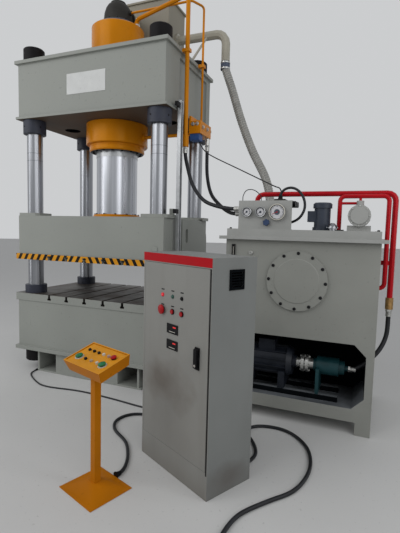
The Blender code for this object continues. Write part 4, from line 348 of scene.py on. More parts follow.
# Both chromes carry painted reflections; the columns' tones are set darker than the ram's.
CHROME = chromed("column_chrome", 26.0, 0.42, 0.22)
RAM_CHROME = chromed("ram_chrome", 13.0, 0.56, 0.33)
POLISHED = coated("polished", (0.26, 0.265, 0.28), 0.18, 1.0, scale=20.0, grain=0.03)
TABLE_TOP = machined("table_top", (0.1, 0.09, 0.08), 0.42)
PLATE_FACE = machined("plate_face", (0.16, 0.155, 0.15), 0.4)
STRIPES = hazard_striped("hazard_stripes", pitch=0.096, lean=0.55)
DIAL_FACE = coated("dial_face", (0.58, 0.58, 0.6), 0.4, drift=0.05, scale=30.0)
SIGN_PLATE = coated("sign_plate", (0.62, 0.63, 0.62), 0.4, drift=0.06, scale=8.0)
DISPLAY_RED = glowing("display_red", (0.6, 0.02, 0.02), 0.5)
LAMP_RED = glowing("lamp_red", (0.62, 0.006, 0.02), 0.3)
LAMP_GREEN = glowing("lamp_green", (0.01, 0.07, 0.05), 0.02)


# Building blocks

def link(piece):
    bpy.context.scene.collection.objects.link(piece)
    return piece


def round_edges(piece, width, angle):
    """Bevel the edges where faces meet at more than an angle."""
    bevel = piece.modifiers.new("edge", "BEVEL")
    bevel.width, bevel.segments = width, 2
    bevel.limit_method = "ANGLE"
    bevel.angle_limit = math.radians(angle)


def new_piece(name, bm, material, body="frame", bevel=0.0, sharp=35):
    """An object from a bmesh, smooth where its faces meet at less than an angle, riding a body."""
    mesh = bpy.data.meshes.new(name)
    bmesh.ops.recalc_face_normals(bm, faces=bm.faces)
    bm.to_mesh(mesh)
    bm.free()
    mesh.shade_smooth()
    mesh.set_sharp_from_angle(angle=math.radians(sharp))
    for each in material if isinstance(material, list) else [material]:
        mesh.materials.append(each)
    piece = link(bpy.data.objects.new(name, mesh))
    if bevel:
        round_edges(piece, bevel, 30)
    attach(piece, body)
    return piece


def standing(direction, place=(0, 0, 0)):
    """The placement that points +Z along a direction."""
    return Matrix.Translation(place) @ Vector(direction).to_track_quat("Z", "Y").to_matrix().to_4x4()


def on_circle(radius, angle, height=0.0):
    return Vector((radius * math.cos(angle), radius * math.sin(angle), height))


def around(centre, direction, radius, count, start=0.0):
    """Places spaced evenly on a circle that faces along a direction."""
    where = standing(direction, centre)
    return [where @ on_circle(radius, start + 2 * math.pi * k / count) for k in range(count)]


def disc(radius, low, high):
    """The profile of a solid disc or rod."""
    return [(0, low), (radius, low), (radius, high), (0, high)]


def sleeve(inner, outer, low, high):
    """The profile of a ring, to be closed."""
    return [(inner, low), (outer, low), (outer, high), (inner, high)]


def add_lathe(bm, profile, where, steps):
    """A turned shape: rings of points round +Z, with single points where the radius is zero."""
    rings = []
    for radius, height in profile:
        count = steps if radius > 0 else 1
        rings.append([
            bm.verts.new(where @ on_circle(radius, 2 * math.pi * k / steps, height)) for k in range(count)
        ])
    for low, high in zip(rings, rings[1:]):
        for k in range(steps):
            pairs = (low, k), (low, k + 1), (high, k + 1), (high, k)
            corners = [ring[at % len(ring)] for ring, at in pairs]
            bm.faces.new(list(dict.fromkeys(corners)))
    return rings


def lathe(name, profile, place, direction, material, body="frame", steps=48, closed=False):
    """A turned piece; a closed profile makes a ring."""
    bm = bmesh.new()
    rings = add_lathe(bm, profile, standing(direction, place), steps)
    if closed:
        for k in range(steps):
            last, first, turn = rings[-1], rings[0], (k + 1) % steps
            bm.faces.new([last[k], last[turn], first[turn], first[k]])
    return new_piece(name, bm, material, body)


def add_box(bm, size, where):
    made = bmesh.ops.create_cube(bm, size=1.0)
    bmesh.ops.scale(bm, vec=size, verts=made["verts"])
    bmesh.ops.transform(bm, matrix=where, verts=made["verts"])


def slab(name, size, where, material, bevel=0.0):
    """A plain box on the frame."""
    bm = bmesh.new()
    add_box(bm, size, where)
    new_piece(name, bm, material, bevel=bevel)


def bolts(name, places, direction, radius, height, material, body="frame", socket=True):
    """A set of screw heads: round with a hexagon socket, or plain hexagons on washers."""
    bm = bmesh.new()
    for place in places:
        where = standing(direction, place)
        if socket:
            nip, hole, floor = radius * 0.15, radius * 0.55, height * 0.45
            add_lathe(bm, [(0, 0), (radius, 0), (radius, height - nip), (radius - nip, height),
                           (hole, height), (hole, floor), (0, floor)], where, 18)
        else:
            washer = height * 0.2
            add_lathe(bm, disc(radius * 1.25, 0, washer), where, 18)
            add_lathe(bm, [(0, washer), (radius, washer), (radius, height * 0.9), (radius * 0.85, height),
                           (0, height)], where, 6)
    return new_piece(name, bm, material, body, sharp=25)


def dress(name, material, *rules, edge=0.003):
    """Give a solid its finish and rounded edges.

    A rule is a material and a test of a face's centre and normal; the last that fits is used.
    """
    node = NODES[name]
    mesh = node.data
    mesh.materials.clear()
    for each in (material, *(rule[0] for rule in rules)):
        mesh.materials.append(each)
    if "custom_normal" in mesh.attributes:
        mesh.attributes.remove(mesh.attributes["custom_normal"])
    for face in mesh.polygons:
        face.use_smooth = True
        for k, (_, test) in enumerate(rules, 1):
            if test(face.center, face.normal):
                face.material_index = k
    weld = node.modifiers.new("weld", "WELD")
    weld.merge_threshold = 0.00002
    flat = node.modifiers.new("flat", "DECIMATE")
    flat.decimate_type = "DISSOLVE"
    flat.angle_limit = math.radians(0.5)
    flat.delimit = {"MATERIAL"}
    if edge:
        round_edges(node, edge, 40)
        node.modifiers.new("normals", "WEIGHTED_NORMAL")
    else:
        split = node.modifiers.new("sharp", "EDGE_SPLIT")
        split.split_angle = math.radians(35)


# Cords

def distances(line):
    """How far along a line each of its points lies."""
    lengths = [0.0]
    for first, second in zip(line, line[1:]):
        lengths.append(lengths[-1] + (second - first).length)
    return lengths


def flowing(points, count):
    """Points along a smooth curve through given ones, straight at both ends."""
    points = [Vector(p) for p in points]
    fine = [points[1]]
    steps = 24
    for p0, p1, p2, p3 in zip(points, points[1:], points[2:], points[3:]):
        for k in range(1, steps + 1):
            t = k / steps
            fine.append(
                (2 * p1 + (p2 - p0) * t + (2 * p0 - 5 * p1 + 4 * p2 - p3) * t * t
                 + (3 * p1 - p0 - 3 * p2 + p3) * t ** 3) / 2
            )
    lengths = distances(fine)
    line, at = [points[0]], 0
    for k in range(count + 1):
        wanted = lengths[-1] * k / count
        while at < len(fine) - 2 and lengths[at + 1] < wanted:
            at += 1
        share = (wanted - lengths[at]) / (lengths[at + 1] - lengths[at])
        line.append(fine[at].lerp(fine[at + 1], share))
    return [*line, points[-1]]


def round_line(name, points, radius, roundness, material, smooth=False, capped=True):
    """A round line through its points, or smoothly along them, that rides the frame."""
    data = bpy.data.curves.new(name, "CURVE")
    data.dimensions = "3D"
    data.bevel_depth = radius
    data.bevel_resolution = roundness
    data.use_fill_caps = capped
    line = data.splines.new("NURBS" if smooth else "POLY")
    line.points.add(len(points) - 1)
    for knot, place in zip(line.points, points):
        knot.co = (*place, 1.0)
    if smooth:
        data.resolution_u = line.order_u = 4
        line.use_endpoint_u = True
    data.materials.append(material)
    piece = link(bpy.data.objects.new(name, data))
    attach(piece, "frame")
    return piece


def cord(name, points, radius, material, replaced):
    """A hose or cable on one smooth spline, in place of the nodes it hides."""
    piece = round_line(name, points, radius, 6, material, smooth=True)
    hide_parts(*replaced)


def ferrule(name, place, direction, radius):
    """A crimped hose end: ridged sleeve, then the hexagon nut that meets the fitting at the place."""
    bm = bmesh.new()
    where = standing(direction, place)
    nut, end, ridges = radius * 1.1, radius * 3.4, 5
    ridge = (end - nut) / ridges
    profile = [(0, nut), (radius * 1.12, nut)]
    for k in range(ridges):
        start = nut + ridge * k
        profile += [(radius * 1.3, start + ridge * 0.15), (radius * 1.3, start + ridge * 0.75),
                    (radius * 1.16, start + ridge)]
    profile += [(radius * 1.01, end), (0, end)]
    add_lathe(bm, profile, where, 24)
    add_lathe(bm, [(0, 0), (radius * 1.35, 0), (radius * 1.45, radius * 0.1), (radius * 1.45, nut * 0.9),
                   (radius * 1.35, nut), (0, nut)], where, 6)
    return new_piece(name, bm, ZINC, sharp=25)


def relief(name, place, direction, radius, length):
    """A tapered sleeve where a cable leaves its gland, flattened where it would meet the floor."""
    profile = [(0, 0), (radius * 1.9, 0), (radius * 1.9, length * 0.12), (radius * 1.6, length * 0.2)]
    rings = 4
    for k in range(rings):
        z = length * (0.25 + 0.16 * k)
        size = radius * (1.55 - 0.11 * k)
        profile += [(size, z), (size, z + length * 0.08), (size - radius * 0.12, z + length * 0.1)]
    profile += [(radius * 1.05, length), (0, length)]
    piece = lathe(name, profile, place, direction, BLACK_PLASTIC_AND_SHADE, steps=24)
    for corner in piece.data.vertices:
        corner.co.z = max(corner.co.z, 0.0005)
    return piece


def wire_helix(name, line, radius, thickness, pitch):
    """The reinforcing wire wound round a clear hose, short of both ends."""
    lengths = distances(line)
    margin, per_turn = 0.1, 14
    turns = int((lengths[-1] - 2 * margin) / pitch)
    side = Vector((0, 1, 0))
    at, places = 0, []
    for k in range(turns * per_turn + 1):
        along = margin + pitch * k / per_turn
        while at < len(lengths) - 2 and lengths[at + 1] < along:
            at += 1
        ahead = (line[at + 1] - line[at]).normalized()
        side = (side - ahead * side.dot(ahead)).normalized()
        angle = 2 * math.pi * k / per_turn
        centre = line[at] + ahead * (along - lengths[at])
        places.append(centre + (side * math.cos(angle) + ahead.cross(side) * math.sin(angle)) * radius)
    return round_line(name, places, thickness, 1, WHITE_PLASTIC, capped=False)


def at_gland(x, away=0.0):
    """A point straight out from one of the cable glands on the cabinet's back."""
    gland_face, gland_height = 0.4373, 0.024
    return cabinet_point(x, gland_face + away, gland_height)


def make_hoses():
    """The hoses and cables between the press and the power unit, and on the unit."""
    clear = flowing([
        (1.19, 0.6, 3.8997), (1.19, 0.6, 3.82), (1.3, 0.58, 3.53), (1.435, 0.55, 3.15), (1.602, 0.5, 2.769),
        (1.8, 0.46, 2.4), (1.88, 0.39, 2.1), (1.88, 0.35, 1.95), (1.88, 0.35, 1.8603),
    ], 34)
    coil = wire_helix("fill_hose_wire", clear, radius=0.0505, thickness=0.0022, pitch=0.03)
    cord("fill_hose_clear", clear, 0.05, HOSE_PLASTIC, ["fill_hose"])
    for name, node, radius, length, stiffness, count, ends, places in (
        ("pressure_hose_a", "hose_a", 0.02, 1.12, "stiff", 30,
         (("hose_a_top_fitting", (0, 0, -1)), ("hose_a_end_fitting", (-1, 0, 0))), [
            (1.065, -0.28, 2.6797), (1.065, -0.28, 2.61), (1.1, -0.3, 2.48), (1.18, -0.32, 2.265),
            (1.32, -0.35, 2.1), (1.495, -0.39, 2.03), (1.68, -0.42, 2.0), (1.7597, -0.42, 2.0),
        ]),
        ("pressure_hose_b", "hose_b", 0.02, 1.3, "stiff", 30,
         (("hose_b_top_fitting", (0, 0, -1)), ("hose_b_end_fitting", (-1, 0, 0))), [
            (1.14, 0.18, 2.7797), (1.14, 0.18, 2.7), (1.18, 0.1, 2.43), (1.29, -0.05, 2.2),
            (1.45, -0.2, 2.06), (1.6, -0.32, 1.975), (1.69, -0.36, 1.955), (1.7597, -0.36, 1.955),
        ]),
        ("signal_cable", "valve_cable", 0.006, 1.52, "limp", 34,
         (("valve_cable_relief", (0, 0, -1)), ("valve_cable_plug_relief", (0, 0, 1))), [
            (1.09, 0.02, 2.8597), (1.09, 0.02, 2.82), (1.14, 0.02, 2.73), (1.25, 0, 2.635),
            (1.65, -0.04, 2.44), (2.04, -0.24, 2.25), (2.14, -0.37, 2.205), (2.17, -0.409, 2.13),
            (2.17, -0.409, 2.0906),
        ]),
        ("solenoid_lead", "solenoid_cable", 0.012, 0.69, "medium", 30,
         (("solenoid_lead_relief", (0, 0, 1)), ("solenoid_lead_end_relief", (1, 0, 0))), [
            (2.17, -0.491, 2.0906), (2.17, -0.491, 2.13), (2.21, -0.5, 2.18), (2.28, -0.505, 2.195),
            (2.35, -0.51, 2.16), (2.4, -0.515, 2.08), (2.405, -0.52, 1.99), (2.36, -0.52, 1.91),
            (2.28, -0.491, 1.87), (2.2203, -0.491, 1.87),
        ]),
        ("pump_outlet_hose", "pump_hose", 0.02, 0.74, "stiff", 26,
         (("pump_hose_top_fitting", (0, 0, -1)), ("pump_hose_end_fitting", (1, 0, 0))), [
            (3.18, -0.35, 1.0997), (3.18, -0.35, 1.02), (3.172, -0.37, 0.86), (3.125, -0.41, 0.735),
            (3.044, -0.445, 0.63), (2.97, -0.45, 0.56), (2.9029, -0.45, 0.52), (2.8629, -0.45, 0.52),
        ]),
    ):
        line = flowing(places, count)
        for (end, direction), place in zip(ends, (line[0], line[-1])):
            if stiffness == "stiff":
                ferrule(end, place, direction, radius)
            else:
                relief(end, place, direction, radius, 0.04)
        cord(name, line, radius, RUBBER, [node])


def level(height, *places):
    """Places at one height."""
    return [(x, y, height) for x, y in places]


def make_floor_cables():
    """The cables on the floor: from the pedestal and the press to the cabinet, and its supply."""
    thin, thick, stout = 0.008, 0.014, 0.013
    for name, node, radius, length, grip, places in (
        ("control_cable", "pedestal_cable", stout, 2.04, 0.045, [
            *(pedestal_point(0, 0.1665 + away, stout) for away in (0.0003, 0.05)),
            *level(stout, (1.378, -1.9), (1.3, -1.76), (1.192, -1.632), (1.0, -1.5), (0.92, -1.35),
                   (0.97, -1.2), (1.12, -1.13), (1.35, -1.11), (1.6, -1.15), (1.76, -1.26)),
            at_gland(-0.6, 0.05), at_gland(-0.6),
        ]),
        ("limit_switch_cable", "press_cable", thin, 3.1, 0.03, [
            *level(thin, (-0.73, -0.6243), (-0.73, -0.66), (-0.7, -0.76), (-0.5, -0.9), (-0.257, -0.995),
                   (0.178, -0.942), (0.6, -0.96), (1.0, -1.0), (1.4, -1.0), (1.72, -1.06), (1.88, -1.2),
                   (1.9, -1.3)),
            at_gland(-0.5, 0.05), at_gland(-0.5),
        ]),
    ):
        line = flowing(places, 38)
        ends = [relief(f"{node}_relief", line[0], line[1] - line[0], radius, grip),
                relief(f"{node}_gland_relief", line[-1], line[-2] - line[-1], radius, 0.045)]
        cord(name, line, radius, RUBBER, [node])
    run = flowing([
        at_gland(-0.12), at_gland(-0.12, 0.05),
        *level(thick, (2.24, -1.38), (2.17, -1.2), (2.07, -1.06), (2.1, -0.93), (2.25, -0.87),
               (2.427, -0.904), (2.6, -1.1), (2.66, -1.4), (2.6, -1.7), (2.45, -1.9), (2.314, -2.1),
               (2.276, -2.3), (2.2753, -2.45), (2.2753, -2.64)),
    ], 38)
    turns = supply_coil(thick)
    line = [*run, *turns]
    ends = [relief("supply_cable_relief", line[0], line[1] - line[0], thick, 0.06),
            bare_cores("supply_cable_cores", turns[-1], turns[-1] - turns[-2], thick)]
    cord("supply_cable", line, thick, RUBBER, ["mains_cable", "mains_coil"])


def supply_coil(thick):
    """Two turns on the floor that wind inwards, then one on top of them, ending on the coil."""
    centre, step = Vector((2.078, -2.64, 0)), 2 * thick + 0.0003
    outside, floor_turns, all_turns, per_turn = 0.1973, 2, 2.9, 16
    rest_height, hump = 0.025, 0.006
    points = []
    for k in range(1, int(all_turns * per_turn) + 1):
        turn = k / per_turn
        radius, height = outside - step * turn, thick
        over = turn - floor_turns
        if over > 0:
            valley = outside - step * (over + 0.5)
            rise, shift = eased(over / 0.21), eased((over - 0.11) / 0.31)
            radius += (valley - radius) * shift
            height += rest_height * rise + hump * math.sin(math.pi * eased((over - 0.05) / 0.4))
        points.append(centre + on_circle(radius, -2 * math.pi * turn, height))
    return points


def eased(share):
    """A share from 0 to 1 that starts and ends gently."""
    share = min(1.0, max(0.0, share))
    return share * share * (3 - 2 * share)


def bare_cores(name, place, direction, radius):
    """The stripped end of a supply cable: four cores with thinner tips."""
    bm = bmesh.new()
    where = standing(direction, place)
    core, tip = radius * 0.34, 0.012
    for k in range(4):
        shift = Matrix.Translation(on_circle(radius * 0.45, math.pi / 4 + k * math.pi / 2))
        reach = 0.03 + 0.004 * k
        add_lathe(bm, [(0, -0.002), (core, -0.002), (core, reach), (core * 0.6, reach),
                       (core * 0.6, reach + tip), (0, reach + tip)], where @ shift, 12)
    return new_piece(name, bm, RED_PLASTIC)


# Press

def on_table(centre, normal):
    """The bolster plate's top, and the walls of its slots and bores."""
    return normal.z > 0.5 or abs(centre.x) < 0.9 and abs(centre.y) < 0.6


def in_hand_hole(centre, normal):
    """The inside of the crown's two blind hand holes, painted in shade."""
    return centre.z > 3.041 and math.hypot(abs(centre.x) - 0.706, centre.y - 0.02) < 0.1005


def make_press():
    dress("bed", PRESS_PAINT, edge=0.004)
    dress("bolster_plate", PRESS_PAINT, (TABLE_TOP, on_table))
    # The crown's downward faces take a painted shade, and so do the walls of its hand holes.
    dress("crown", PRESS_PAINT, (CROWN_UNDERSIDE_SHADE, lambda c, n: n.z < -0.5 and c.z < 3.06),
          (SHADE_BLACK, in_hand_hole), edge=0.004)
    dress("slide", PRESS_PAINT)
    dress("slide_base_plate", PRESS_PAINT, (PLATE_FACE, lambda c, n: n.z < -0.5),
          (STRIPES, lambda c, n: n.y < -0.9), edge=0.002)
    dress("ram_flange", YELLOW_PAINT)
    dress("fill_tank", BEIGE_PAINT)
    dress("suction_neck", BEIGE_PAINT)
    dress("fill_pipe", WHITE_PAINT, edge=0)
    for name in ("pressure_pipe", "pilot_pipe", "port_pipe"):
        dress(name, YELLOW_PAINT, edge=0)
    dress("valve_block", YELLOW_PAINT, (ZINC, lambda c, n: c.z < 2.855))
    dress("limit_rail", BARE_STEEL, (BLACK_PLASTIC_AND_SHADE, lambda c, n: c.y < -0.4203), edge=0.0015)
    make_prefill_valve()
    make_columns()
    make_cylinder()


def make_columns():
    """Four chromed columns with dark nuts and collars, each one turned piece."""
    rod, nut, collar, table, nip = COLUMN_RADIUS, 0.12, 0.131, 0.128, 0.004
    top, nut_low, collar_low = 3.875, 3.7133, 2.88
    table_top, bed_top, bed_low, foot = 1.0553, 0.9573, 0.2557, 0.1
    profile = [
        (0, top), (nut - NUT_CHAMFER, top), (nut, top - NUT_CHAMFER), (nut, nut_low), (rod, nut_low),
        (rod, CROWN_LOW), (collar, CROWN_LOW), (collar, collar_low + nip), (collar - nip, collar_low),
        (rod, collar_low), *((rod, z + half) for z in SCRIBES for half in (0.0015, -0.0015)),
        (rod, table_top), (table - nip, table_top), (table, 1.051), (table, bed_top), (rod, bed_top),
        (rod, bed_low), (table, bed_low), (table, foot + NUT_CHAMFER), (table - NUT_CHAMFER, foot),
        (0, foot),
    ]
    for side, x, y in (
        ("front_left", -COLUMN_X, -COLUMN_Y), ("front_right", COLUMN_X, -COLUMN_Y),
        ("rear_left", -COLUMN_X, COLUMN_Y), ("rear_right", COLUMN_X, COLUMN_Y),
    ):
        bm = bmesh.new()
        add_lathe(bm, profile, Matrix.Translation((x, y, 0)), 64)
        piece = new_piece(f"column_{side}_finished", bm, [NUT_PAINT, CHROME, COLLAR_PAINT])
        for face in piece.data.polygons:
            z, out = face.center.z, math.hypot(face.center.x - x, face.center.y - y)
            if abs(out - rod) < 0.002 and (1.05 < z < 2.9 or z > 3):
                scribed = side.startswith("front") and any(abs(z - scribe) < 0.001 for scribe in SCRIBES)
                face.material_index = 0 if scribed else 1
            elif 0.95 < z < 1.06 or 2.87 < z < 3.04:
                face.material_index = 2
        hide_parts(f"column_{side}")
        for k, angle in enumerate((-1.9, -0.3, 1.25, 2.8)):
            out = on_circle(collar, angle)
            place = Vector((x, y, 2.96)) + out * 0.99
            bolts(f"collar_screw_{side}_{k}", [place], out, 0.009, 0.006, BLACK_STEEL_AND_SHADE)


def make_prefill_valve():
    """The cast prefill valve on the cylinder: bolted flange, dome, and bosses for its two pipes."""
    bm = bmesh.new()
    add_lathe(bm, [
        (0, 4.1803), (0.21, 4.1803), (0.21, 4.238), (0.205, 4.243), (0.172, 4.243), (0.172, 4.3),
        (0.166, 4.36), (0.148, 4.42), (0.124, 4.46), (0.09, 4.484), (0.09, 4.5), (0, 4.5),
    ], Matrix(), 64)
    add_lathe(bm, [(0, 0.02), (0.095, 0.02), (0.095, 0.165), (0.12, 0.165), (0.12, 0.19), (0, 0.19)],
              standing((0, 1, 0), (0, 0, 4.38)), 40)
    add_lathe(bm, disc(0.0255, 0.02, 0.19), standing((1, 0, 0), (0, 0, 4.36)), 24)
    piece = new_piece("prefill_valve_cast", bm, [CAST_DARK, FLANGE_PAINT])
    for face in piece.data.polygons:
        if face.center.z < 4.2435:
            face.material_index = 1
    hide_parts("prefill_valve")


def make_cylinder():
    """The painted cylinder with its ring, the gland under it and the chromed ram."""
    origin, up = (0, 0, 0), (0, 0, 1)
    wall, ring, top, low = CYLINDER_RADIUS, 0.376, CYLINDER_TOP, 2.786
    head = top - CYLINDER_HEAD
    body = lathe("main_cylinder_painted", [
        (0, top), (wall - NUT_CHAMFER, top), (wall, top - NUT_CHAMFER), (wall, CROWN_LOW),
        (ring - 0.006, CROWN_LOW), (ring, 3.034), (ring, low + 0.008), (ring - 0.008, low),
        (CYLINDER_BORE, low), (CYLINDER_BORE, head), (0, head),
    ], origin, up, YELLOW_PAINT, steps=96)
    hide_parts("main_cylinder")
    lathe("cylinder_top_port", disc(0.045, 4.17, 4.205), (0.256, 0, 0), up, ZINC)
    lathe("cylinder_side_port", disc(0.045, 0.36, 0.401), (0, 0, 2.88), (1, 0, 0), YELLOW_PAINT)
    gland, bottom, upper, groove = 0.336, 2.635, 2.7857, 0.003
    step, thin = 2.705, 0.2535
    ring_piece = lathe("gland_ring_painted", [
        (gland, upper), (gland, upper - 0.02), (gland - groove, upper - 0.023),
        (gland - groove, upper - 0.027), (gland, upper - 0.03), (gland, step + NUT_CHAMFER),
        (gland - NUT_CHAMFER, step), (thin, step), (thin, bottom), (GLAND_BORE, bottom),
        (GLAND_BORE, upper),
    ], origin, up, [YELLOW_PAINT, BLACK_STEEL_AND_SHADE, BARE_STEEL], steps=96, closed=True)
    # Painted shade: the gland's downward step takes black steel; below it the neck is bare steel.
    for face in ring_piece.data.polygons:
        out = math.hypot(face.center.x, face.center.y)
        if face.center.z < step - 0.001:
            face.material_index = 2
        elif face.center.z < step + 0.001 and out < gland - NUT_CHAMFER:
            face.material_index = 1
    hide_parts("gland_ring")
    bolts("gland_bolts", around((0, 0, step), (0, 0, -1), 0.292, 16), (0, 0, -1), 0.015, 0.012, BLACK_STEEL_AND_SHADE)
    seat, crest = 1.9453, 3.2
    under = crest - PISTON_HEIGHT
    rod = lathe("ram_chromed", [
        (0, crest), (PISTON_RADIUS, crest), (PISTON_RADIUS, under), (RAM_RADIUS, under), (RAM_RADIUS, seat),
        (0, seat),
    ], origin, up, RAM_CHROME, "slide_carriage", steps=96)
    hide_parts("ram")
    bolts("ram_flange_bolts", around((0, 0, 1.9445), up, 0.27, 12), up, 0.012, 0.01, BLACK_STEEL_AND_SHADE,
          "slide_carriage")


def make_press_fittings():
    """The plain plate on the crown, flange bolts, plugs and clamps."""
    forward, right, up = (0, -1, 0), (1, 0, 0), (0, 0, 1)
    plate = Vector((-0.005, -0.6195, 3.372))
    slab("crown_plate", (0.52, 0.004, 0.225), Matrix.Translation(plate), SIGN_PLATE, bevel=0.001)
    corners = [plate + Vector((sx * 0.248, -0.002, sz * 0.1)) for sx in (-1, 1) for sz in (-1, 1)]
    bolts("crown_plate_rivets", corners, forward, 0.005, 0.002, ZINC)
    bolts("suction_flange_bolts", around((0, 0.31, 4.38), forward, 0.105, 8), forward, 0.011, 0.012, ZINC,
          socket=False)
    bolts("prefill_flange_bolts", around((0, 0, 4.243), up, 0.19, 12), up, 0.012, 0.016, BLACK_STEEL_AND_SHADE)
    bolts("fill_flange_bolts", around((0.5385, 0.6, 4.24), right, 0.07, 6), right, 0.008, 0.008, ZINC,
          socket=False)
    slab("pilot_valve_body", (0.115, 0.1, 0.074), Matrix.Translation((1.0975, -0.062, 2.8225)), VALVE_BLUE,
         bevel=0.003)
    for side, places, direction in (
        ("front", [(1.08, -0.12, 2.965), (1.13, -0.12, 2.965)], forward),
        ("side", [(1.17, -0.05, 2.94), (1.17, 0.08, 2.94)], right),
    ):
        bolts(f"valve_block_plugs_{side}", places, direction, 0.018, 0.018, ZINC, socket=False)
    cuff = coated("cuff_blue", (0.08, 0.1, 0.15), 0.5, drift=0.3, scale=30.0)
    lathe("fill_hose_cuff", sleeve(0.0535, 0.058, -0.01, -0.105), (1.19, 0.6, 3.9), up, cuff, closed=True)
    for k, z in enumerate((3.878, 3.808)):
        lathe(f"fill_hose_clamp_{k}", sleeve(0.058, 0.0605, 0.008, -0.008), (1.19, 0.6, z), up, ZINC,
              closed=True)


# Power unit

BAY_LOW, BAY_HIGH = (0.0675, 0.0005, 0.234), (1.3035, 0.5505, 0.811)


def unit_point(x, y, z):
    return UNIT + Vector((x, y, z))


def in_bay(centre, normal):
    """A face inside the pump bay, which takes a painted shade."""
    return all(low < value < high for low, value, high in zip(BAY_LOW, centre - UNIT, BAY_HIGH))


def make_power_unit():
    forward, up = (0, -1, 0), (0, 0, 1)
    # The pump bay's inside takes a painted shade: near black, and a darkened grey on its floor.
    dress("oil_tank", TANK_PAINT, (SHADE_BLACK, in_bay), (BAY_FLOOR_SHADE, lambda c, n: in_bay(c, n) and n.z > 0.5))
    dress("tank_lid", PANEL_PAINT)
    dress("manhole_cover", TANK_PAINT, edge=0.002)
    front = min(corner.co.y for corner in NODES["level_gauge"].data.vertices)
    dress("level_gauge", BLACK_PLASTIC_AND_SHADE, (WHITE_PLASTIC, lambda c, n: n.y < -0.9 and c.y > front + 0.001),
          edge=0.001)
    dress("gauge_panel", PANEL_PAINT, (BLACK_PLASTIC_AND_SHADE, near_gauge), edge=0)
    dress("valve_manifold", BARE_STEEL, (CAST_DARK, lambda c, n: c.z > 2.001 and c.x < 2.222),
          (BLACK_PLASTIC_AND_SHADE, lambda c, n: c.x > 2.221), edge=0.0015)
    dress("return_filter", PANEL_PAINT, edge=0.0015)
    dress("return_header", RED_PAINT, (BRASS, lambda c, n: c.z < 1.21), edge=0)
    for name, material in (
        ("shutoff_knob", BLUE_PLASTIC), ("pump_motor", MOTOR_PAINT), ("shaft_coupling", ZINC),
        ("pump", TEAL_PAINT), ("cooling_motor", FAN_MOTOR_PAINT), ("filler_cap", POLISHED),
        ("return_branch", RED_PAINT),
    ):
        dress(name, material, edge=0)
    lathe("branch_gasket", sleeve(0.03, 0.046, 0, 0.012), (2.71, -0.398, 1.8003), up, RUBBER, closed=True)
    manhole = unit_point(0.683, -0.0223, 1.336)
    bolts("manhole_bolts", around(manhole, forward, 0.254, 12, math.radians(-1.7)), forward, 0.012, 0.01,
          BLACK_STEEL_AND_SHADE, socket=False)
    bolts("filter_bolts", around(unit_point(1.179, 0.124, 1.937), forward, 0.086, 8), forward, 0.006, 0.008,
          ZINC, socket=False)
    lid = [unit_point(x, y, 1.8) for x in (0.03, 1.34) for y in (0.03, 1.07)]
    bolts("lid_bolts", lid, up, 0.011, 0.012, BLACK_STEEL_AND_SHADE, socket=False)
    plate = manhole + Vector((0, -0.0006, -0.0035))
    slab("manhole_plate", (0.26, 0.0016, 0.105), Matrix.Translation(plate), PANEL_PAINT, bevel=0.0005)
    bolts("tank_side_fitting", [(1.953, -0.684, 1.576)], forward, 0.02, 0.014, ZINC)
    make_gauges()
    arch = flowing([
        (1.822, -0.565, 2.0695), (1.822, -0.565, 2.11), (1.85, -0.565, 2.165), (1.9, -0.565, 2.178),
        (1.953, -0.565, 2.16), (2.005, -0.565, 2.11), (2.005, -0.565, 2.0695),
    ], 24)
    round_line("gauge_line", arch, 0.004, 3, RUBBER)


GAUGES = ((0.176, 0.045), (0.309, 0.048), (0.466, 0.075))
GAUGE_Z = 1.961
PANEL_Y = 0.084
GAUGE_DEPTH = 0.034


def near_gauge(centre, normal):
    place = centre - UNIT
    return place.y < PANEL_Y - 0.001 and any(
        math.hypot(place.x - x, place.z - GAUGE_Z) < radius + 0.001 for x, radius in GAUGES
    )


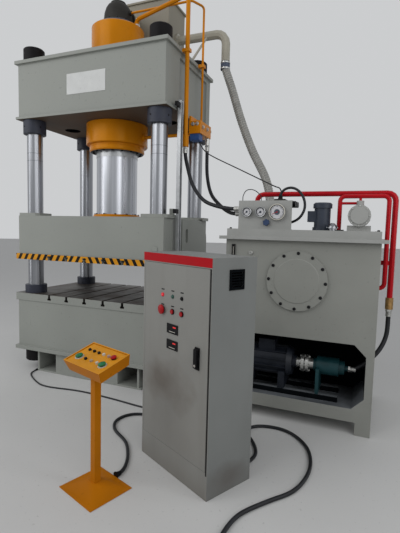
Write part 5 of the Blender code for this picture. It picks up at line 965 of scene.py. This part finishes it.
def make_gauges():
    """Dials with ticks and hands behind their bezels."""
    forward = (0, -1, 0)
    back = GAUGE_DEPTH - 0.006
    for k, (x, radius) in enumerate(GAUGES):
        large = radius > 0.06
        dial = radius - 0.012
        lathe(f"dial_{k}", [(0, 0.0012), (dial - 0.0005, 0.0012), (dial - 0.0005, 0)],
              unit_point(x, PANEL_Y - back - 0.0002, GAUGE_Z), forward, DIAL_FACE)
        lathe(f"bezel_ring_{k}", [
            (radius + wider, height) for wider, height in (
                (-0.006, -0.001), (-0.007, 0.003), (-0.002, 0.004), (0.0015, 0.001), (0.0015, -0.012),
                (0.0004, -0.012), (0.0004, -0.001))
        ], unit_point(x, PANEL_Y - GAUGE_DEPTH, GAUGE_Z), forward, WHITE_PLASTIC if large else BARE_STEEL,
            closed=True)
        centre = unit_point(x, PANEL_Y - back - 0.0022, GAUGE_Z)

        def spoke(angle, reach, proud=0.0):
            """The placement of a mark that points away from the dial's centre."""
            out = Vector((reach * math.cos(angle), -proud, reach * math.sin(angle)))
            return Matrix.Translation(centre + out) @ Matrix.Rotation(-angle, 4, "Y")

        bm = bmesh.new()
        marks = 25
        for n in range(marks):
            long, wide = (0.16, 0.07) if n % 4 == 0 else (0.08, 0.035)
            angle = math.radians(225 - 270 * n / (marks - 1))
            add_box(bm, (dial * long, 0.0006, dial * wide), spoke(angle, dial * (0.92 - long / 2)))
        new_piece(f"dial_marks_{k}", bm, BLACK_PLASTIC_AND_SHADE)
        bm = bmesh.new()
        angle = math.radians(225 - 270 * (0.02 + 0.03 * k))
        add_box(bm, (dial * 0.95, 0.0008, dial * 0.06), spoke(angle, dial * 0.34, 0.0012))
        add_lathe(bm, disc(dial * 0.1, 0.003, 0), standing(forward, centre), 20)
        new_piece(f"dial_hand_{k}", bm, RED_PLASTIC if large else BLACK_PLASTIC_AND_SHADE)
        inner = dial * (0.42 if large else 0.3)
        lathe(f"dial_centre_{k}", [(0, 0.0009), (inner, 0.0009), (inner, 0)], centre, forward, FLANGE_PAINT)


# Cabinet

CABINET_WIDTH = 0.785
HEADER_LOW, HEADER_HIGH = 1.5375, 1.5985
DOOR_COLUMNS = (-0.529, -0.409, -0.303)
DISPLAY_X, DISPLAYS = -0.404, (1.0715, 0.9565)
LOCK_X = -0.123


def faces_front(centre, normal):
    return normal.dot(cabinet_axis(0, -1, 0)) > 0.9


def make_cabinet():
    # All of the body but its front takes the darker grey, a painted shade.
    dress("cabinet_body", CABINET_SIDE_SHADED, (CABINET_DOOR_PAINT, faces_front), edge=0.002)
    dress("cabinet_door", CABINET_DOOR_PAINT, *door_rules(), edge=0)
    dress("door_lock", BLACK_PLASTIC_AND_SHADE, edge=0.002)
    # The grille is black, and its slats take a painted shade for the dark behind the mesh.
    dress("fan_grille", SHADE_BLACK, edge=0.001)
    dress("mounting_plate", BARE_STEEL, edge=0)
    for name in ("emergency_stop", "cabinet_button_1", "cabinet_button_2"):
        dress(name, RED_PLASTIC, edge=0)

    def flat(x, y, z):
        """The placement of a slab on the cabinet's front."""
        return Matrix.Translation(cabinet_point(x, y, z)) @ Matrix.Rotation(CABINET_TURN, 4, "Z")

    slab("cabinet_header", (CABINET_WIDTH - 0.002, 0.002, HEADER_HIGH - HEADER_LOW),
         flat(-CABINET_WIDTH / 2, -0.001, (HEADER_LOW + HEADER_HIGH) / 2), RED_BAND, bevel=0.0006)
    # Painted shade: a black strip along the door's lock-side edge for the gap between door and body.
    slab("door_gap_shade", (0.012, 0.0008, 1.36), flat(-0.0112, -0.0003, 0.85), BLACK_PLASTIC_AND_SHADE)
    for name, material, slabs in (
        ("door_labels", BLACK_PLASTIC_AND_SHADE,
         [(x, 0, z, 0.034, 0.008) for x in DOOR_COLUMNS for z in (1.342, 1.232)]),
        ("display_digits", DISPLAY_RED, [(-0.378, -0.005, z + 0.014, 0.034, 0.009) for z in DISPLAYS]),
        ("display_marks", WHITE_PLASTIC, [(DISPLAY_X, -0.005, z - 0.02, 0.07, 0.004) for z in DISPLAYS]),
    ):
        bm = bmesh.new()
        for x, y, z, wide, tall in slabs:
            add_box(bm, (wide, 0.0012, tall), flat(x, y - 0.0004, z))
        new_piece(name, bm, material, "cabinet_door")
    proud = min(cabinet_local(corner.co).y for corner in NODES["door_lock"].data.vertices)
    lathe("lock_key_cylinder", disc(0.009, 0, 0.0015), cabinet_point(LOCK_X, proud, 0.885),
          cabinet_axis(0, -1, 0), ZINC, "door_lock", steps=24)


def mark_rules(local, proud, marks):
    """Finishes for what stands proud of a front: round marks by radius, or panes by width and height.

    local turns a place into how far it lies across, up and out of the front.
    """
    def rule(material, x, y, size, height=None):
        def test(centre, normal):
            across, up, out = local(centre)
            if height is None:
                return out > proud and math.hypot(across - x, up - y) < size
            return out > proud and abs(across - x) < size / 2 and abs(up - y) < height / 2
        return material, test
    return [rule(*mark) for mark in marks]


def door_rules():
    """Finishes for what is fused with the door: lamps, bezels, displays and the lock's plate."""
    def local(centre):
        x, y, z = cabinet_local(centre)
        return x, z, -y

    return mark_rules(local, 0.0002, [
        *((material, x, 1.302, 0.023) for x, material in zip(
            DOOR_COLUMNS, (LAMP_RED, LAMP_GREEN, BLACK_PLASTIC_AND_SHADE))),
        *((BLACK_PLASTIC_AND_SHADE, x, 1.195, 0.025) for x in DOOR_COLUMNS),
        *((BLACK_PLASTIC_AND_SHADE, DISPLAY_X, z, 0.14, 0.08) for z in DISPLAYS),
        (BLACK_PLASTIC_AND_SHADE, LOCK_X, 0.93, 0.05, 0.16),
    ])


# Pedestal

CONSOLE_FRONT_Z, CONSOLE_BACK_Z, CONSOLE_DEPTH = 0.879, 0.953, 0.242
PALM_X, ROW_Y = 0.13, 0.045


def make_pedestal():
    dress("pedestal_stand", PEDESTAL_PAINT, edge=0.002)
    dress("console_box", PEDESTAL_PAINT, *console_rules(), edge=0)
    dress("console_stop_button", RED_PLASTIC, edge=0)
    up = console_frame().to_3x3() @ Vector((0, 0, 1))
    for side, x in (("left", -PALM_X), ("right", PALM_X)):
        dress(f"palm_button_{side}", GREEN_PLASTIC, edge=0)
        place = console_frame() @ Vector((x, -ROW_Y, -0.006))
        lathe(f"palm_ring_{side}", sleeve(0.018, 0.031, 0, 0.003), place, up, WHITE_PLASTIC, closed=True)


def console_frame():
    """The placement of the console's sloping deck: x along it, y to its back."""
    tilt = math.atan2(CONSOLE_BACK_Z - CONSOLE_FRONT_Z, CONSOLE_DEPTH)
    middle = pedestal_point(0, 0, (CONSOLE_FRONT_Z + CONSOLE_BACK_Z) / 2)
    return (Matrix.Translation(middle) @ Matrix.Rotation(PEDESTAL_TURN, 4, "Z")
            @ Matrix.Rotation(tilt, 4, "X"))


def console_rules():
    """Finishes for the deck and for the selectors, lamps and bezels on it; the deck's upward faces take a
    lighter orange as painted light.
    """
    back = console_frame().inverted()
    small, large = 0.013, 0.019
    return [(DECK_LIT_PAINT, lambda centre, normal: normal.z > 0.7), *mark_rules(lambda c: back @ c, -0.0055, [
        (BLACK_PLASTIC_AND_SHADE, -0.135, ROW_Y, small), (BLACK_PLASTIC_AND_SHADE, -0.081, ROW_Y, small),
        (BLACK_PLASTIC_AND_SHADE, -0.027, ROW_Y, small), (WHITE_PLASTIC, 0.027, ROW_Y, small),
        (CLEAR_PLASTIC, 0.081, ROW_Y, small), (BLACK_PLASTIC_AND_SHADE, -0.055, -ROW_Y, small),
        (BEIGE_PLASTIC, 0.009, -ROW_Y, small), (WHITE_PLASTIC, 0.073, -ROW_Y, small),
        (BLACK_PLASTIC_AND_SHADE, -PALM_X, -ROW_Y, large), (BLACK_PLASTIC_AND_SHADE, PALM_X, -ROW_Y, large),
        (BLACK_PLASTIC_AND_SHADE, 0.135, ROW_Y, large),
    ])]


# Stage

def make_camera():
    ahead = Vector((-math.sin(YAW) * math.cos(PITCH), math.cos(YAW) * math.cos(PITCH), -math.sin(PITCH)))
    level = Vector((math.cos(YAW), math.sin(YAW), 0))
    top = level.cross(ahead)
    right = level * math.cos(ROLL) + top * math.sin(ROLL)
    up = top * math.cos(ROLL) - level * math.sin(ROLL)
    data = bpy.data.cameras.new("camera")
    data.sensor_width = SENSOR
    data.lens = FOCAL_PIXELS * SENSOR / PHOTO_HEIGHT
    camera = link(bpy.data.objects.new("camera", data))
    camera.matrix_world = Matrix.Translation(EYE) @ Matrix((right, up, -ahead)).transposed().to_4x4()
    bpy.context.scene.camera = camera


def softbox(name, place, target, width, height, watts):
    """A flat lamp that faces a point."""
    data = bpy.data.lights.new(name, "AREA")
    data.shape = "RECTANGLE"
    data.size, data.size_y, data.energy = width, height, watts
    lamp = link(bpy.data.objects.new(name, data))
    lamp.location = place
    lamp.rotation_euler = (Vector(target) - Vector(place)).to_track_quat("-Z", "Y").to_euler()


def make_sky():
    """An even pale sky: a little brighter where it is seen than where it only lights."""
    world = bpy.data.worlds.new("studio")
    world.use_nodes = True
    tree = world.node_tree
    lighting = tree.nodes["Background"]
    lighting.inputs["Color"].default_value = (0.62, 0.63, 0.65, 1)
    lighting.inputs["Strength"].default_value = 0.64
    seen = tree.nodes.new("ShaderNodeBackground")
    seen.inputs["Color"].default_value = (0.6, 0.61, 0.62, 1)
    seen.inputs["Strength"].default_value = 1.0
    rays = tree.nodes.new("ShaderNodeLightPath").outputs
    share = maths(tree, "ADD", rays["Is Camera Ray"], rays["Is Glossy Ray"])
    share = maths(tree, "MINIMUM", maths(tree, "ADD", share, rays["Is Transmission Ray"]), 1.0)
    either = tree.nodes.new("ShaderNodeMixShader")
    tree.links.new(share, either.inputs[0])
    tree.links.new(lighting.outputs[0], either.inputs[1])
    tree.links.new(seen.outputs[0], either.inputs[2])
    tree.links.new(either.outputs[0], tree.nodes["World Output"].inputs["Surface"])
    bpy.context.scene.world = world


def make_stage():
    """A plain pale floor, soft lamps and an even pale sky."""
    bm = bmesh.new()
    bmesh.ops.create_circle(bm, cap_ends=True, segments=96, radius=60)
    mesh = bpy.data.meshes.new("floor")
    bm.to_mesh(mesh)
    bm.free()
    floor = link(bpy.data.objects.new("floor", mesh))
    mesh.materials.append(coated("floor_pale", (0.62, 0.62, 0.61), 0.7, drift=0.03, scale=0.7, grain=0.03))
    make_sky()
    softbox("key", (-3.5, -7.5, 7.0), (0.5, 0, 2), 6.5, 6.5, 255)
    softbox("fill", (7.5, -6.5, 4.5), (1.5, 0, 1.5), 5.0, 5.0, 98)
    softbox("strip_left", (-4.5, -3.5, 3.0), (0, 0, 2.4), 1.3, 5.0, 45)
    softbox("strip_right", (5.5, -2.0, 3.5), (0, 0, 2.4), 1.1, 4.0, 30)
    bpy.context.scene.view_settings.view_transform = "Standard"


make_camera()
make_hoses()
make_floor_cables()
make_press()
make_press_fittings()
make_power_unit()
make_cabinet()
make_pedestal()
make_stage()
